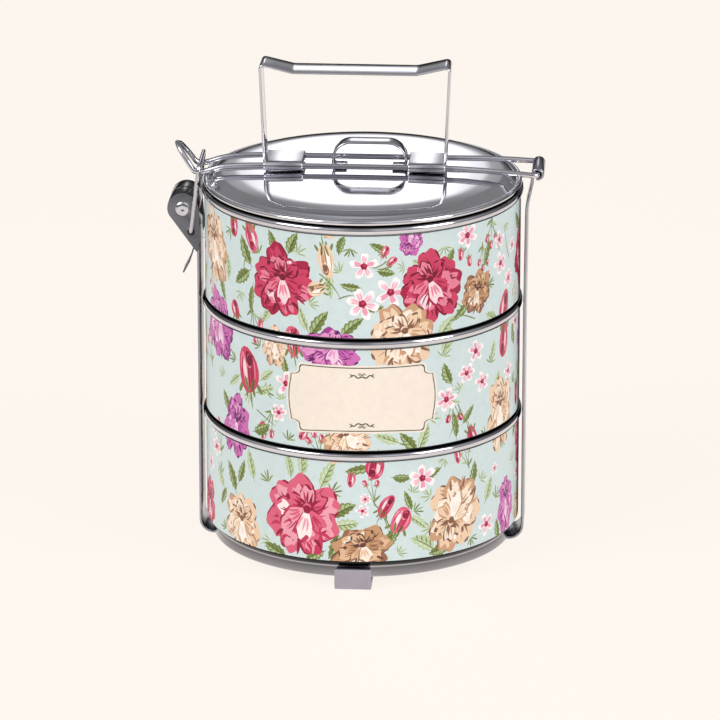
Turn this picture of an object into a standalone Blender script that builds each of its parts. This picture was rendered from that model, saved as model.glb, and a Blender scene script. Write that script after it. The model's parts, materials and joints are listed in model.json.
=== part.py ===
"""Three-tier tiffin carrier: stacked printed steel bowls held in a hinged, latched cradle.

Axes: +Z up, bowls turned about Z, front towards -Y, hinge at +X and latch at -X.
Origin: on the ground, under the bowls' axis. Units: metres.
"""
from math import acos, atan2, cos, degrees, hypot, pi, radians, sin

import bmesh
import bpy
from mathutils import Vector

MM = 0.001

# ---------------------------------------------------------------- driving dimensions
BOWL_RADIUS = 70.0 * MM          # outside of the printed film
BOWL_COUNT = 3
TIER_PITCH = 51.5 * MM           # from one rim to the next
NEST_DEPTH = 7.0 * MM            # how far a base ring drops into the bowl below
BASE_HEIGHT = 5.0 * MM           # ground to the lowest bowl's base ring
RING_RADIUS = 67.0 * MM
SHEET = 0.9 * MM                 # bowl and lid sheet
FILM = 0.15 * MM                 # printed film
GAP = 0.3 * MM                   # clearance between neighbours
TURN_STEPS = 40                  # segments in a turned part

STRAP_WIDTH = 20.0 * MM
STRAP_SHEET = 1.2 * MM
STRAP_LEFT = -72.3 * MM          # centreline of the strap's latch-side upright
FOOT_DROP = 4.0 * MM             # strap centreline above the ground, under the bowls

WIRE_RADIUS = 1.25 * MM          # top frame wire
BAIL_RADIUS = 0.95 * MM
LEG_WIDTH = 15.5 * MM            # carrying handle strap
LEG_SHEET = 1.1 * MM
HANDLE_HEIGHT = 55.6 * MM        # above the top rim

BOWL_HEIGHT = TIER_PITCH + NEST_DEPTH
RIM_PLANE = BASE_HEIGHT + BOWL_HEIGHT + (BOWL_COUNT - 1) * TIER_PITCH

HINGE = Vector((77.6 * MM, 0.0, RIM_PLANE + 7.5 * MM))
LEVER_PIVOT = Vector((-78.9 * MM, 0.0, RIM_PLANE - 10.7 * MM))
BAIL_PIVOT = LEVER_PIVOT + Vector((3.6 * MM, 0.0, -10.6 * MM))
BAIL_TOP = Vector((-71.4 * MM, 0.0, RIM_PLANE + 9.5 * MM))
WIRE_HALF_GAP = 8.25 * MM        # wire centre to the mid-plane, along the clamps
WIRE_LIFT = 9.2 * MM             # wire centre above the top rim, along the clamps

# ---------------------------------------------------------------- scene and collections
for old_object in list(bpy.data.objects):
    bpy.data.objects.remove(old_object, do_unlink=True)

PARTS = bpy.data.collections.new("tiffin_carrier")
CUTTERS = bpy.data.collections.new("cutters")
bpy.context.scene.collection.children.link(PARTS)
bpy.context.scene.collection.children.link(CUTTERS)


def steel(name, colour, roughness, metallic=1.0):
    """A Principled material with one colour, roughness and metallic value."""
    material = bpy.data.materials.new(name)
    material.use_nodes = True
    shader = material.node_tree.nodes["Principled BSDF"]
    shader.inputs["Base Color"].default_value = (*colour, 1.0)
    shader.inputs["Roughness"].default_value = roughness
    shader.inputs["Metallic"].default_value = metallic
    return material


POLISHED = steel("polished_steel", (0.72, 0.72, 0.76), 0.12)
SATIN = steel("satin_steel", (0.55, 0.55, 0.60), 0.32)
DULL = steel("dull_steel", (0.36, 0.37, 0.42), 0.42)
PRINT = steel("printed_film", (0.63, 0.74, 0.73), 0.35, metallic=0.0)
PLASTIC = steel("black_plastic", (0.012, 0.012, 0.014), 0.22, metallic=0.0)


# ---------------------------------------------------------------- modelling tools
def add_object(name, data, material, location=(0.0, 0.0, 0.0), rotation=(0.0, 0.0, 0.0)):
    """Put data in the parts collection as a named object."""
    made = bpy.data.objects.new(name, data)
    made.location = location
    made.rotation_euler = rotation
    data.materials.append(material)
    PARTS.objects.link(made)
    return made


def as_cutter(cutter):
    """Keep a cutter in its own collection, shown as wire and never rendered."""
    for collection in list(cutter.users_collection):
        collection.objects.unlink(cutter)
    CUTTERS.objects.link(cutter)
    cutter.hide_render = True
    cutter.display_type = "WIRE"
    return cutter


def box_cutter(name, low, high):
    """A box between two corners."""
    mesh = bpy.data.meshes.new(name)
    body = bmesh.new()
    bmesh.ops.create_cube(body, size=1.0)
    size = Vector(high) - Vector(low)
    bmesh.ops.scale(body, vec=size, verts=body.verts)
    bmesh.ops.translate(body, vec=(Vector(high) + Vector(low)) / 2, verts=body.verts)
    body.to_mesh(mesh)
    body.free()
    return as_cutter(add_object(name, mesh, DULL))


def rod_cutter(name, centre, radius, length):
    """A cylinder along Y."""
    mesh = bpy.data.meshes.new(name)
    body = bmesh.new()
    bmesh.ops.create_cone(
        body, cap_ends=True, segments=20, radius1=radius, radius2=radius, depth=length
    )
    body.to_mesh(mesh)
    body.free()
    return as_cutter(add_object(name, mesh, DULL, centre, (pi / 2, 0.0, 0.0)))


def boolean(target, other, operation):
    """Join or cut target with an EXACT Boolean."""
    modifier = target.modifiers.new(f"{operation.lower()}_{other.name}", "BOOLEAN")
    modifier.operation = operation
    modifier.solver = "EXACT"
    modifier.object = other
    return modifier


def to_mesh_object(curve_object):
    """Replace a curve object by its welded mesh, so that it can take a Boolean."""
    bpy.context.view_layer.update()
    graph = bpy.context.evaluated_depsgraph_get()
    mesh = bpy.data.meshes.new_from_object(curve_object.evaluated_get(graph))
    welded = bmesh.new()
    welded.from_mesh(mesh)
    bmesh.ops.remove_doubles(welded, verts=welded.verts, dist=0.001 * MM)
    bmesh.ops.recalc_face_normals(welded, faces=welded.faces)
    welded.to_mesh(mesh)
    welded.free()
    name = curve_object.name
    matrix = curve_object.matrix_world.copy()
    curve_object.name = name + "_outline"
    solid = bpy.data.objects.new(name, mesh)
    solid.matrix_world = matrix
    PARTS.objects.link(solid)
    bpy.data.objects.remove(curve_object, do_unlink=True)
    return solid


def arc(centre, radius, start, end, count):
    """Points on an arc in a plane; angles in degrees, from the first axis to the second."""
    span = radians(end - start)
    return [
        (
            centre[0] + radius * cos(radians(start) + span * i / count),
            centre[1] + radius * sin(radians(start) + span * i / count),
        )
        for i in range(count + 1)
    ]


def oval(centre, half_width, half_height, start, end, count):
    """Points on an upright oval, as arc."""
    unit = arc((0.0, 0.0), 1.0, start, end, count)
    return [(centre[0] + half_width * x, centre[1] + half_height * y) for x, y in unit]


def rounded(points, radii, count=5):
    """A polyline with each inner corner replaced by an arc of its own radius."""
    path = [points[0]]
    for before, corner, after, radius in zip(points, points[1:], points[2:], radii):
        back = Vector(before) - Vector(corner)
        ahead = Vector(after) - Vector(corner)
        half = back.angle(ahead) / 2
        reach = radius / max(1e-6, abs(sin(half) / cos(half)))
        start = Vector(corner) + back.normalized() * reach
        finish = Vector(corner) + ahead.normalized() * reach
        middle = (back.normalized() + ahead.normalized()).normalized()
        centre = Vector(corner) + middle * (radius / sin(half))
        first = start - centre
        last = finish - centre
        turn = atan2(first.x * last.y - first.y * last.x, first.dot(last))
        base = atan2(first.y, first.x)
        for i in range(count + 1):
            angle = base + turn * i / count
            path.append((centre.x + radius * cos(angle), centre.y + radius * sin(angle)))
    path.append(points[-1])
    return path


def strip(path, sheet):
    """Outline of a bent strip: the path offset by half the sheet to each side."""
    left = []
    right = []
    for i, point in enumerate(path):
        here = Vector(point)
        back = (here - Vector(path[i - 1])).normalized() if i > 0 else None
        ahead = (Vector(path[i + 1]) - here).normalized() if i < len(path) - 1 else None
        back = back or ahead
        ahead = ahead or back
        along = (back + ahead).normalized()
        stretch = 1.0 / max(0.5, along.dot(ahead))
        side = Vector((-along.y, along.x)) * (sheet / 2 * stretch)
        left.append(tuple(here + side))
        right.append(tuple(here - side))
    return left + right[::-1]


def plate(name, outline, width, material, origin=(0.0, 0.0, 0.0), across_x=False):
    """A flat outline given in XZ, or in YZ, extruded along the remaining axis and centred on origin."""
    curve = bpy.data.curves.new(name, "CURVE")
    curve.dimensions = "2D"
    curve.fill_mode = "BOTH"
    curve.extrude = width / 2
    spline = curve.splines.new("POLY")
    spline.points.add(len(outline) - 1)
    spline.use_cyclic_u = True
    for point, (u, v) in zip(spline.points, outline):
        point.co = (u, v, 0.0, 1.0)
    rotation = (pi / 2, 0.0, pi / 2) if across_x else (pi / 2, 0.0, 0.0)
    return to_mesh_object(add_object(name, curve, material, origin, rotation))


def wire(name, points, radius, material, closed, origin=(0.0, 0.0, 0.0)):
    """A round wire along points, given in world coordinates."""
    curve = bpy.data.curves.new(name, "CURVE")
    curve.dimensions = "3D"
    curve.bevel_depth = radius
    curve.bevel_resolution = 2
    curve.use_fill_caps = not closed
    spline = curve.splines.new("POLY")
    spline.points.add(len(points) - 1)
    spline.use_cyclic_u = closed
    for point, place in zip(spline.points, points):
        point.co = (*(Vector(place) - Vector(origin)), 1.0)
    return add_object(name, curve, material, origin)


def turned(
    name, profile, material, origin=(0.0, 0.0, 0.0), closed=False, rotation=(0.0, 0.0, 0.0), steps=TURN_STEPS
):
    """A turned solid: a profile of (radius, height), down its outer side, about its own Z."""
    mesh = bpy.data.meshes.new(name)
    edges = [(i, i + 1) for i in range(len(profile) - 1)]
    if closed:
        edges.append((len(profile) - 1, 0))
    mesh.from_pydata([(r, 0.0, z) for r, z in profile], edges, [])
    solid = add_object(name, mesh, material, origin, rotation)
    screw = solid.modifiers.new("turn", "SCREW")
    screw.steps = steps
    screw.render_steps = steps
    screw.use_merge_vertices = True
    screw.merge_threshold = 0.001 * MM
    screw.use_smooth_shade = True
    return solid


# ---------------------------------------------------------------- bowls and their printed films
WALL_RADIUS = BOWL_RADIUS - FILM - 0.25 * MM     # outside of the steel, under the film
INNER_RADIUS = WALL_RADIUS - SHEET + 0.1 * MM
BEAD_HALF_WIDTH = 1.2 * MM
BEAD_HALF_HEIGHT = 1.7 * MM
FILM_LOW = NEST_DEPTH + 1.4 * MM
FILM_HIGH = BOWL_HEIGHT - 4.1 * MM


def bowl_profile():
    """Bowl section from the middle of its floor, over the rolled rim, to the middle of its base."""
    bead_centre = (BOWL_RADIUS, BOWL_HEIGHT - BEAD_HALF_HEIGHT)
    return (
        [(0.0, 1.5 * MM), (63.0 * MM, 1.5 * MM), (65.2 * MM, 1.0 * MM), (66.1 * MM, 1.7 * MM)]
        + [(66.1 * MM, 5.2 * MM), (66.8 * MM, 6.3 * MM), (68.2 * MM, 7.3 * MM)]
        + [(INNER_RADIUS, 8.8 * MM)]
        + oval(bead_centre, BEAD_HALF_WIDTH, BEAD_HALF_HEIGHT, 180, -105, 7)
        + [(WALL_RADIUS, BOWL_HEIGHT - 3.8 * MM), (WALL_RADIUS, 8.1 * MM)]
        + [(69.3 * MM, 7.2 * MM), (68.2 * MM, 6.5 * MM), (67.3 * MM, 5.7 * MM)]
        + [(RING_RADIUS, 4.6 * MM), (RING_RADIUS, 0.8 * MM), (66.2 * MM, 0.0)]
        + [(64.4 * MM, 0.0), (63.4 * MM, 0.6 * MM), (0.0, 0.6 * MM)]
    )


def film_profile():
    """Section of the printed film, outer side first, top to bottom."""
    outer = BOWL_RADIUS
    inner = BOWL_RADIUS - FILM
    return [(outer, FILM_HIGH), (outer, FILM_LOW), (inner, FILM_LOW), (inner, FILM_HIGH)]


for tier, place in enumerate(("bottom", "middle", "top")):
    seat = (0.0, 0.0, BASE_HEIGHT + tier * TIER_PITCH)
    turned(f"{place}_bowl", bowl_profile(), POLISHED, seat)
    turned(f"{place}_print_film", film_profile(), PRINT, seat, closed=True)


# ---------------------------------------------------------------- lid and its loop
def lid_profile():
    """Lid section from the crown, over the bead and the inner skirt, to the underside."""
    crown = [(0.0, 6.8), (28.0, 6.65), (46.0, 6.3), (57.0, 5.8), (63.0, 5.1), (65.6, 4.2), (67.2, 2.9)]
    bead = oval((69.2, 1.65), 1.3, 1.35, 150, -90, 7)
    skirt = [(68.2, 0.15), (68.2, -4.5), (67.8, -5.0), (67.3, -4.6), (67.3, 0.6)]
    underside = [(66.2, 2.5), (64.9, 3.5), (62.6, 4.3), (56.8, 5.0), (46.0, 5.5), (28.0, 5.85), (0.0, 6.0)]
    return [(r * MM, z * MM) for r, z in crown + bead + skirt + underside]


turned("lid", lid_profile(), POLISHED, (0.0, 0.0, RIM_PLANE))

LOOP_CENTRE = 3.2 * MM
LOOP_HALF = 16.1 * MM
LOOP_SHEET = 1.0 * MM
LOOP_WIDTH = 8.8 * MM
LOOP_TOP = RIM_PLANE + 18.8 * MM
LOOP_FOOT = RIM_PLANE + 7.7 * MM


def lid_loop():
    """Strap loop standing on the lid, its feet turned in."""
    left = LOOP_CENTRE - LOOP_HALF
    right = LOOP_CENTRE + LOOP_HALF
    foot = 6.0 * MM
    path = rounded(
        [(left + foot, LOOP_FOOT), (left, LOOP_FOOT), (left, LOOP_TOP), (right, LOOP_TOP),
         (right, LOOP_FOOT), (right - foot, LOOP_FOOT)],
        [1.4 * MM, 8.0 * MM, 8.0 * MM, 1.4 * MM], 6,
    )
    plate("lid_loop", strip(path, LOOP_SHEET), LOOP_WIDTH, POLISHED)


lid_loop()


# ---------------------------------------------------------------- top frame: closed wire loop
def smooth_path(knots, samples):
    """Points on a smooth curve through the knots, each (x, y, z)."""
    points = []
    last = len(knots) - 1
    for i in range(last):
        p0 = Vector(knots[max(0, i - 1)])
        p1 = Vector(knots[i])
        p2 = Vector(knots[i + 1])
        p3 = Vector(knots[min(last, i + 2)])
        for j in range(samples):
            t = j / samples
            points.append(
                0.5 * ((2 * p1) + (p2 - p0) * t + (2 * p0 - 5 * p1 + 4 * p2 - p3) * t * t
                       + (3 * p1 - p0 - 3 * p2 + p3) * t ** 3)
            )
    points.append(Vector(knots[-1]))
    return points


def frame_wire():
    """Hinge pin, two near-parallel runs over the lid, a valley for the bail and a finger loop."""
    pin_half = 9.6 * MM
    corner = 1.9 * MM
    front = [
        (HINGE.x - corner, -pin_half - corner, HINGE.z),
        (60.0 * MM, -10.2 * MM, RIM_PLANE + 8.6 * MM),
        (44.0 * MM, -8.6 * MM, RIM_PLANE + 9.1 * MM),
        (37.0 * MM, -WIRE_HALF_GAP, RIM_PLANE + WIRE_LIFT),
        (19.0 * MM, -WIRE_HALF_GAP, RIM_PLANE + WIRE_LIFT),
        (-25.0 * MM, -WIRE_HALF_GAP, RIM_PLANE + WIRE_LIFT),
        (-44.0 * MM, -WIRE_HALF_GAP, RIM_PLANE + WIRE_LIFT),
        (-60.0 * MM, -7.7 * MM, RIM_PLANE + 8.2 * MM),
        (-68.5 * MM, -7.5 * MM, RIM_PLANE + 5.9 * MM),
        (-71.4 * MM, -7.4 * MM, RIM_PLANE + 5.3 * MM),
        (-74.2 * MM, -7.0 * MM, RIM_PLANE + 5.9 * MM),
        (-77.6 * MM, -5.9 * MM, RIM_PLANE + 10.5 * MM),
        (-80.6 * MM, -3.6 * MM, RIM_PLANE + 14.7 * MM),
        (-81.9 * MM, 0.0, RIM_PLANE + 16.4 * MM),
    ]
    half = smooth_path(front, 3)
    bend = [
        (HINGE.x - corner + corner * sin(radians(a)), -pin_half - corner * cos(radians(a)), HINGE.z)
        for a in (90, 60, 30)
    ]
    front_side = [Vector(p) for p in bend] + half
    rear_side = [Vector((p.x, -p.y, p.z)) for p in front_side[-2::-1]]
    wire("frame_wire", front_side + rear_side, WIRE_RADIUS, POLISHED, True, HINGE)


frame_wire()


# ---------------------------------------------------------------- carrying handle
def carry_handle():
    """One strap: grip, two legs, and feet turned in and rolled over both wires."""
    level = RIM_PLANE + WIRE_LIFT
    top = RIM_PLANE + HANDLE_HEIGHT - LEG_SHEET / 2
    dip = top - 3.4 * MM
    path = rounded(
        [(-26.0 * MM, level), (-43.0 * MM, level), (-44.9 * MM, top), (-30.5 * MM, dip),
         (24.0 * MM, dip), (38.5 * MM, top), (36.6 * MM, level), (20.6 * MM, level)],
        [1.2 * MM, 1.6 * MM, 8.0 * MM, 8.0 * MM, 1.6 * MM, 1.2 * MM], 5,
    )
    handle = plate("carry_handle", strip(path, LEG_SHEET), LEG_WIDTH, POLISHED)

    inside = WIRE_HALF_GAP - WIRE_RADIUS - GAP - 0.1 * MM
    reach = 12.0 * MM
    for side, name in ((-1, "front_notch"), (1, "rear_notch")):
        near = side * inside
        far = side * reach
        notch = box_cutter(
            name, (-60 * MM, min(near, far), level - 5 * MM), (60 * MM, max(near, far), level + 2.2 * MM)
        )
        boolean(handle, notch, "DIFFERENCE")

    roll_sheet = 0.9 * MM
    roll_radius = WIRE_RADIUS + GAP + roll_sheet / 2
    half = arc((WIRE_HALF_GAP, 0.0), roll_radius, -45, 180, 10)
    section = half + [(-y, z) for y, z in half[::-1]]
    for name, low, high in (("left_foot_roll", -43.2, -26.0), ("right_foot_roll", 20.6, 36.8)):
        centre = ((low + high) / 2 * MM, 0.0, level)
        roll = plate(name, strip(section, roll_sheet), (high - low) * MM, POLISHED, centre, across_x=True)
        boolean(handle, as_cutter(roll), "UNION")
    return handle


carry_handle()


# ---------------------------------------------------------------- cradle strap and foot bar
CURL_INNER = 1.8 * MM            # round the lever's rivet
BARREL_INNER = 1.65 * MM         # round the frame's hinge pin
FOOT_PAD = 46.0 * MM             # middle of each pressed foot pad
RIVET_RADIUS = 1.5 * MM


def strap_path():
    """Strap centreline in XZ: curl at the latch, down, under the bowls, up, and the hinge barrel."""
    pad_half = 5.0 * MM
    ramp = 4.5 * MM
    pad_level = STRAP_SHEET / 2
    curl_radius = CURL_INNER + STRAP_SHEET / 2
    bend = (STRAP_LEFT, RIM_PLANE - 19.5 * MM)
    reach = (bend[0] - LEVER_PIVOT.x, bend[1] - LEVER_PIVOT.z)
    touch = degrees(atan2(reach[1], reach[0]) + acos(curl_radius / hypot(*reach)))
    curl = arc((LEVER_PIVOT.x, LEVER_PIVOT.z), curl_radius, 255, touch, 12)

    barrel_radius = BARREL_INNER + STRAP_SHEET / 2
    foot = (72.2 * MM, FOOT_DROP)
    top = (HINGE.x - barrel_radius, HINGE.z - 4.0 * MM)
    corners = [curl[-1], bend, (STRAP_LEFT, FOOT_DROP)]
    radii = [3.0 * MM, 6.0 * MM]
    for side in (-1, 1):
        near = side * FOOT_PAD - pad_half - ramp
        steps = [
            (near, FOOT_DROP), (near + ramp, pad_level),
            (near + ramp + 2 * pad_half, pad_level), (near + 2 * (ramp + pad_half), FOOT_DROP),
        ]
        corners += steps
        radii += [1.5 * MM] * len(steps)
    corners += [foot, (72.3 * MM, 110.0 * MM), (72.8 * MM, 158.0 * MM), top, (top[0], HINGE.z)]
    radii += [6.0 * MM, 60.0 * MM, 8.0 * MM, 2.5 * MM]
    barrel = arc((HINGE.x, HINGE.z), barrel_radius, 180, -110, 16)
    return curl[:-1] + rounded(corners, radii, 4)[:-1] + barrel


plate("cradle_strap", strip(strap_path(), STRAP_SHEET), STRAP_WIDTH, SATIN)


def foot_bar():
    """Cross bar under the strap: a shallow channel with its ends turned up against the base ring."""
    half_length = 70.2 * MM
    sheet = 1.2 * MM
    width = 16.2 * MM
    tab_top = 11.0 * MM
    rail_top = FOOT_DROP - STRAP_SHEET / 2 - GAP
    path = rounded(
        [(-half_length + sheet / 2, tab_top), (-half_length + sheet / 2, sheet / 2),
         (half_length - sheet / 2, sheet / 2), (half_length - sheet / 2, tab_top)],
        [1.0 * MM, 1.0 * MM], 3,
    )
    bar = plate("foot_bar", strip(path, sheet), width, DULL, across_x=True)
    for side in (-1, 1):
        outer = side * width / 2
        inner = side * (width / 2 - sheet)
        rail = box_cutter(
            f"rail_{'left' if side < 0 else 'right'}",
            (min(outer, inner), -half_length + 0.5 * MM, 0.4 * MM),
            (max(outer, inner), half_length - 0.5 * MM, rail_top),
        )
        boolean(bar, rail, "UNION")
    rounding = rod_cutter("tab_rounding", (0.0, 0.0, -11.0 * MM), 22.0 * MM, 2.5 * half_length)
    boolean(bar, rounding, "INTERSECT")
    return bar


foot_bar()


# ---------------------------------------------------------------- latch
PLATE_INNER = STRAP_WIDTH / 2 + GAP
PLATE_SHEET = 0.8 * MM
TAIL_SHEET = 0.65 * MM
TAIL_WIDTH = 11.0 * MM
HEAD_RADIUS = 3.3 * MM


def pivot_rivet():
    """Rivet through the lever plates and the strap's curl, along Y."""
    seat = PLATE_INNER + PLATE_SHEET + 0.1 * MM
    crown = seat + 0.8 * MM
    profile = [
        (0.0, crown), (1.6 * MM, crown), (2.7 * MM, crown - 0.3 * MM), (HEAD_RADIUS, seat + 0.1 * MM),
        (HEAD_RADIUS, seat), (RIVET_RADIUS, seat), (RIVET_RADIUS, -seat), (HEAD_RADIUS, -seat),
        (HEAD_RADIUS, -seat - 0.1 * MM), (2.7 * MM, 0.3 * MM - crown), (1.6 * MM, -crown), (0.0, -crown),
    ]
    turned("pivot_rivet", profile, POLISHED, LEVER_PIVOT, rotation=(pi / 2, 0.0, 0.0), steps=20)


pivot_rivet()


def pivot_sleeve():
    """Black sleeve clipped over the strap's curl, with a slot where the strap leaves it."""
    radius = 7.0 * MM
    bore = CURL_INNER + STRAP_SHEET + GAP
    width = STRAP_WIDTH - 0.4 * MM
    groove = 0.35 * MM
    profile = [
        (radius, width / 2), (radius, 0.6 * MM), (radius - groove, 0.4 * MM),
        (radius - groove, -0.4 * MM), (radius, -0.6 * MM), (radius, -width / 2),
        (bore, -width / 2), (bore, width / 2),
    ]
    sleeve = turned("pivot_sleeve", profile, PLASTIC, LEVER_PIVOT, closed=True,
                    rotation=(pi / 2, 0.0, 0.0), steps=32)
    curl_radius = CURL_INNER + STRAP_SHEET / 2
    bend = Vector((STRAP_LEFT, 0.0, RIM_PLANE - 19.5 * MM)) - LEVER_PIVOT
    lean = atan2(bend.z, bend.x)
    touch = lean + acos(curl_radius / bend.length)
    tangent = Vector((cos(touch), 0.0, sin(touch))) * curl_radius
    slot = box_cutter("sleeve_slot", (0.0, -width, -1.0 * MM), (16.0 * MM, width, 1.0 * MM))
    slot.location = LEVER_PIVOT + tangent
    slot.rotation_euler = (0.0, -atan2((bend - tangent).z, (bend - tangent).x), 0.0)
    boolean(sleeve, slot, "DIFFERENCE")
    return sleeve


pivot_sleeve()


def latch_lever():
    """Two cheek plates joined by a web along their outer edge, which runs out as a finger tail."""
    nose = 6.9 * MM
    tip = Vector((6.4 * MM, -20.6 * MM))
    outer_top = arc((0.0, 0.0), nose, 0, 205, 14)
    outline = outer_top + [tuple(tip), (7.9 * MM, -13.0 * MM)]
    cheek_offset = PLATE_INNER + PLATE_SHEET / 2

    offset = Vector((0.0, cheek_offset, 0.0))
    lever = plate("latch_lever", outline, PLATE_SHEET, DULL, LEVER_PIVOT - offset)
    rear = plate("rear_cheek", outline, PLATE_SHEET, DULL, LEVER_PIVOT + offset)
    corner = Vector(outer_top[-1])
    along = (tip - corner).normalized()
    inward = Vector((-along.y, along.x)) * (PLATE_SHEET / 2 + 0.15 * MM)
    web_start = corner + along * 6.5 * MM + inward
    web_end = tip - along * 2.6 * MM + inward
    web_path = [tuple(web_start), tuple(web_end)]
    web = plate("outer_web", strip(web_path, PLATE_SHEET), 2 * (PLATE_INNER + 0.2 * MM), DULL, LEVER_PIVOT)
    tail_root = web_end - along * 0.9 * MM + inward * 0.3
    tail_path = rounded(
        [tuple(tail_root), (2.2 * MM, -26.0 * MM), (-0.6 * MM, -31.4 * MM)], [3.0 * MM], 3
    )
    tail = plate("finger_tail", strip(tail_path, TAIL_SHEET), TAIL_WIDTH, DULL, LEVER_PIVOT)
    for piece in (rear, web, tail):
        boolean(lever, as_cutter(piece), "UNION")
    length = 3 * STRAP_WIDTH
    for name, centre, radius in (
        ("rivet_hole", LEVER_PIVOT, RIVET_RADIUS + GAP),
        ("bail_hole", BAIL_PIVOT, BAIL_RADIUS + 0.4 * MM),
    ):
        boolean(lever, rod_cutter(name, centre, radius, length), "DIFFERENCE")
    return lever


latch_lever()


def bail_wire():
    """U of wire over the frame's valley, its ends hooked through the lever's cheeks."""
    leg = 13.3 * MM
    hook_end = 9.4 * MM
    bend = 2.4 * MM
    up = (BAIL_TOP - BAIL_PIVOT).normalized()
    side = Vector((0.0, 1.0, 0.0))

    def corner(centre, first, last):
        """Quarter bend about centre, from direction first to direction last."""
        angles = [i * pi / 8 for i in range(5)]
        return [centre + first * bend * cos(a) + last * bend * sin(a) for a in angles]

    front = [BAIL_PIVOT - side * hook_end]
    front += corner(BAIL_PIVOT - side * (leg - bend) + up * bend, -up, -side)
    front += corner(BAIL_TOP - side * (leg - bend) - up * bend, -side, up)
    rear = [Vector((p.x, -p.y, p.z)) for p in front[::-1]]
    wire("bail_wire", front + rear, BAIL_RADIUS, POLISHED, False, BAIL_PIVOT)


bail_wire()

# ---------------------------------------------------------------- shading
for part in PARTS.objects:
    if part.type == "MESH" and not any(m.type == "SCREW" for m in part.modifiers):
        part.data.shade_smooth()
        part.data.set_sharp_from_angle(angle=radians(35))
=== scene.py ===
"""Looks of a three-tier tiffin carrier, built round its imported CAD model.

Axes: +Z up, bowls turned about Z, front towards -Y, hinge at +X and latch at -X. Units: metres.
"""
import json
import random
from math import acos, asin, atan2, cos, degrees, hypot, pi, radians, sin

import bmesh
import bpy
from mathutils import Matrix, Vector
from mathutils.bvhtree import BVHTree
from mathutils.geometry import delaunay_2d_cdt


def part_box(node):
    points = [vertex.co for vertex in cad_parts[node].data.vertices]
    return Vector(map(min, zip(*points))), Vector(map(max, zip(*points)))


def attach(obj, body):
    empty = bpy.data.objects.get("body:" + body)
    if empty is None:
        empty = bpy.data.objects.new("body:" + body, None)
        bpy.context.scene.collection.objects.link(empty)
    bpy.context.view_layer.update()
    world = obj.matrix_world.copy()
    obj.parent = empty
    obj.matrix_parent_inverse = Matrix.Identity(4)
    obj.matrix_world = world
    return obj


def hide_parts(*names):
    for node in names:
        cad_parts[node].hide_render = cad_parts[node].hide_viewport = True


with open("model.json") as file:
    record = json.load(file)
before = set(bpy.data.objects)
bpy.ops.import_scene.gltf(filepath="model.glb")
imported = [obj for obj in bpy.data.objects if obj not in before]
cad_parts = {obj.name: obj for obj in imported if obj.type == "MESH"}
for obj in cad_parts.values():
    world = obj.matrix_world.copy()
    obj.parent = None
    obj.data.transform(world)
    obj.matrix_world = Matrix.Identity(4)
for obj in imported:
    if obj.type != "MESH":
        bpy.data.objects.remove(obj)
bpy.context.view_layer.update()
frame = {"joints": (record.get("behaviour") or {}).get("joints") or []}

MM = 0.001

# ---------------------------------------------------------------- sizes read from the frame
JOINTS = {joint["name"]: joint for joint in frame["joints"]}
HINGE = Vector(JOINTS["frame_hinge"]["pos_m"])
LEVER_PIVOT = Vector(JOINTS["lever_pivot"]["pos_m"])
BAIL_PIVOT = Vector(JOINTS["bail_pivot"]["pos_m"])
TIERS = ("bottom", "middle", "top")
BOWL_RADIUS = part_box("top_print_film")[1].x
RIM_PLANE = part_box("top_bowl")[1].z
TIER_PITCH = RIM_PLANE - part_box("middle_bowl")[1].z
BOWL_HEIGHT = RIM_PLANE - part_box("top_bowl")[0].z
SEATS = {tier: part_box(f"{tier}_bowl")[0].z for tier in TIERS}
FILM_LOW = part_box("top_print_film")[0].z - SEATS["top"]
FILM_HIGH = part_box("top_print_film")[1].z - SEATS["top"]

# ---------------------------------------------------------------- sizes of the finer pieces
TURN_STEPS = 144
FINE_STEPS = 240
FILM = 0.15 * MM
SHEET = 0.9 * MM
GAP = 0.3 * MM
WALL_RADIUS = BOWL_RADIUS - FILM - 0.25 * MM
RING_RADIUS = 67.0 * MM
BEAD_HALF_WIDTH = 1.2 * MM
BEAD_HALF_HEIGHT = 1.7 * MM
WIRE_RADIUS = 1.25 * MM
WIRE_HALF_GAP = 8.25 * MM
WIRE_LIFT = 9.2 * MM
BAIL_RADIUS = 0.95 * MM
STRAP_WIDTH = 20.0 * MM
STRAP_SHEET = 1.2 * MM
STRAP_LEFT = -72.3 * MM
FOOT_DROP = 4.0 * MM


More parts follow.
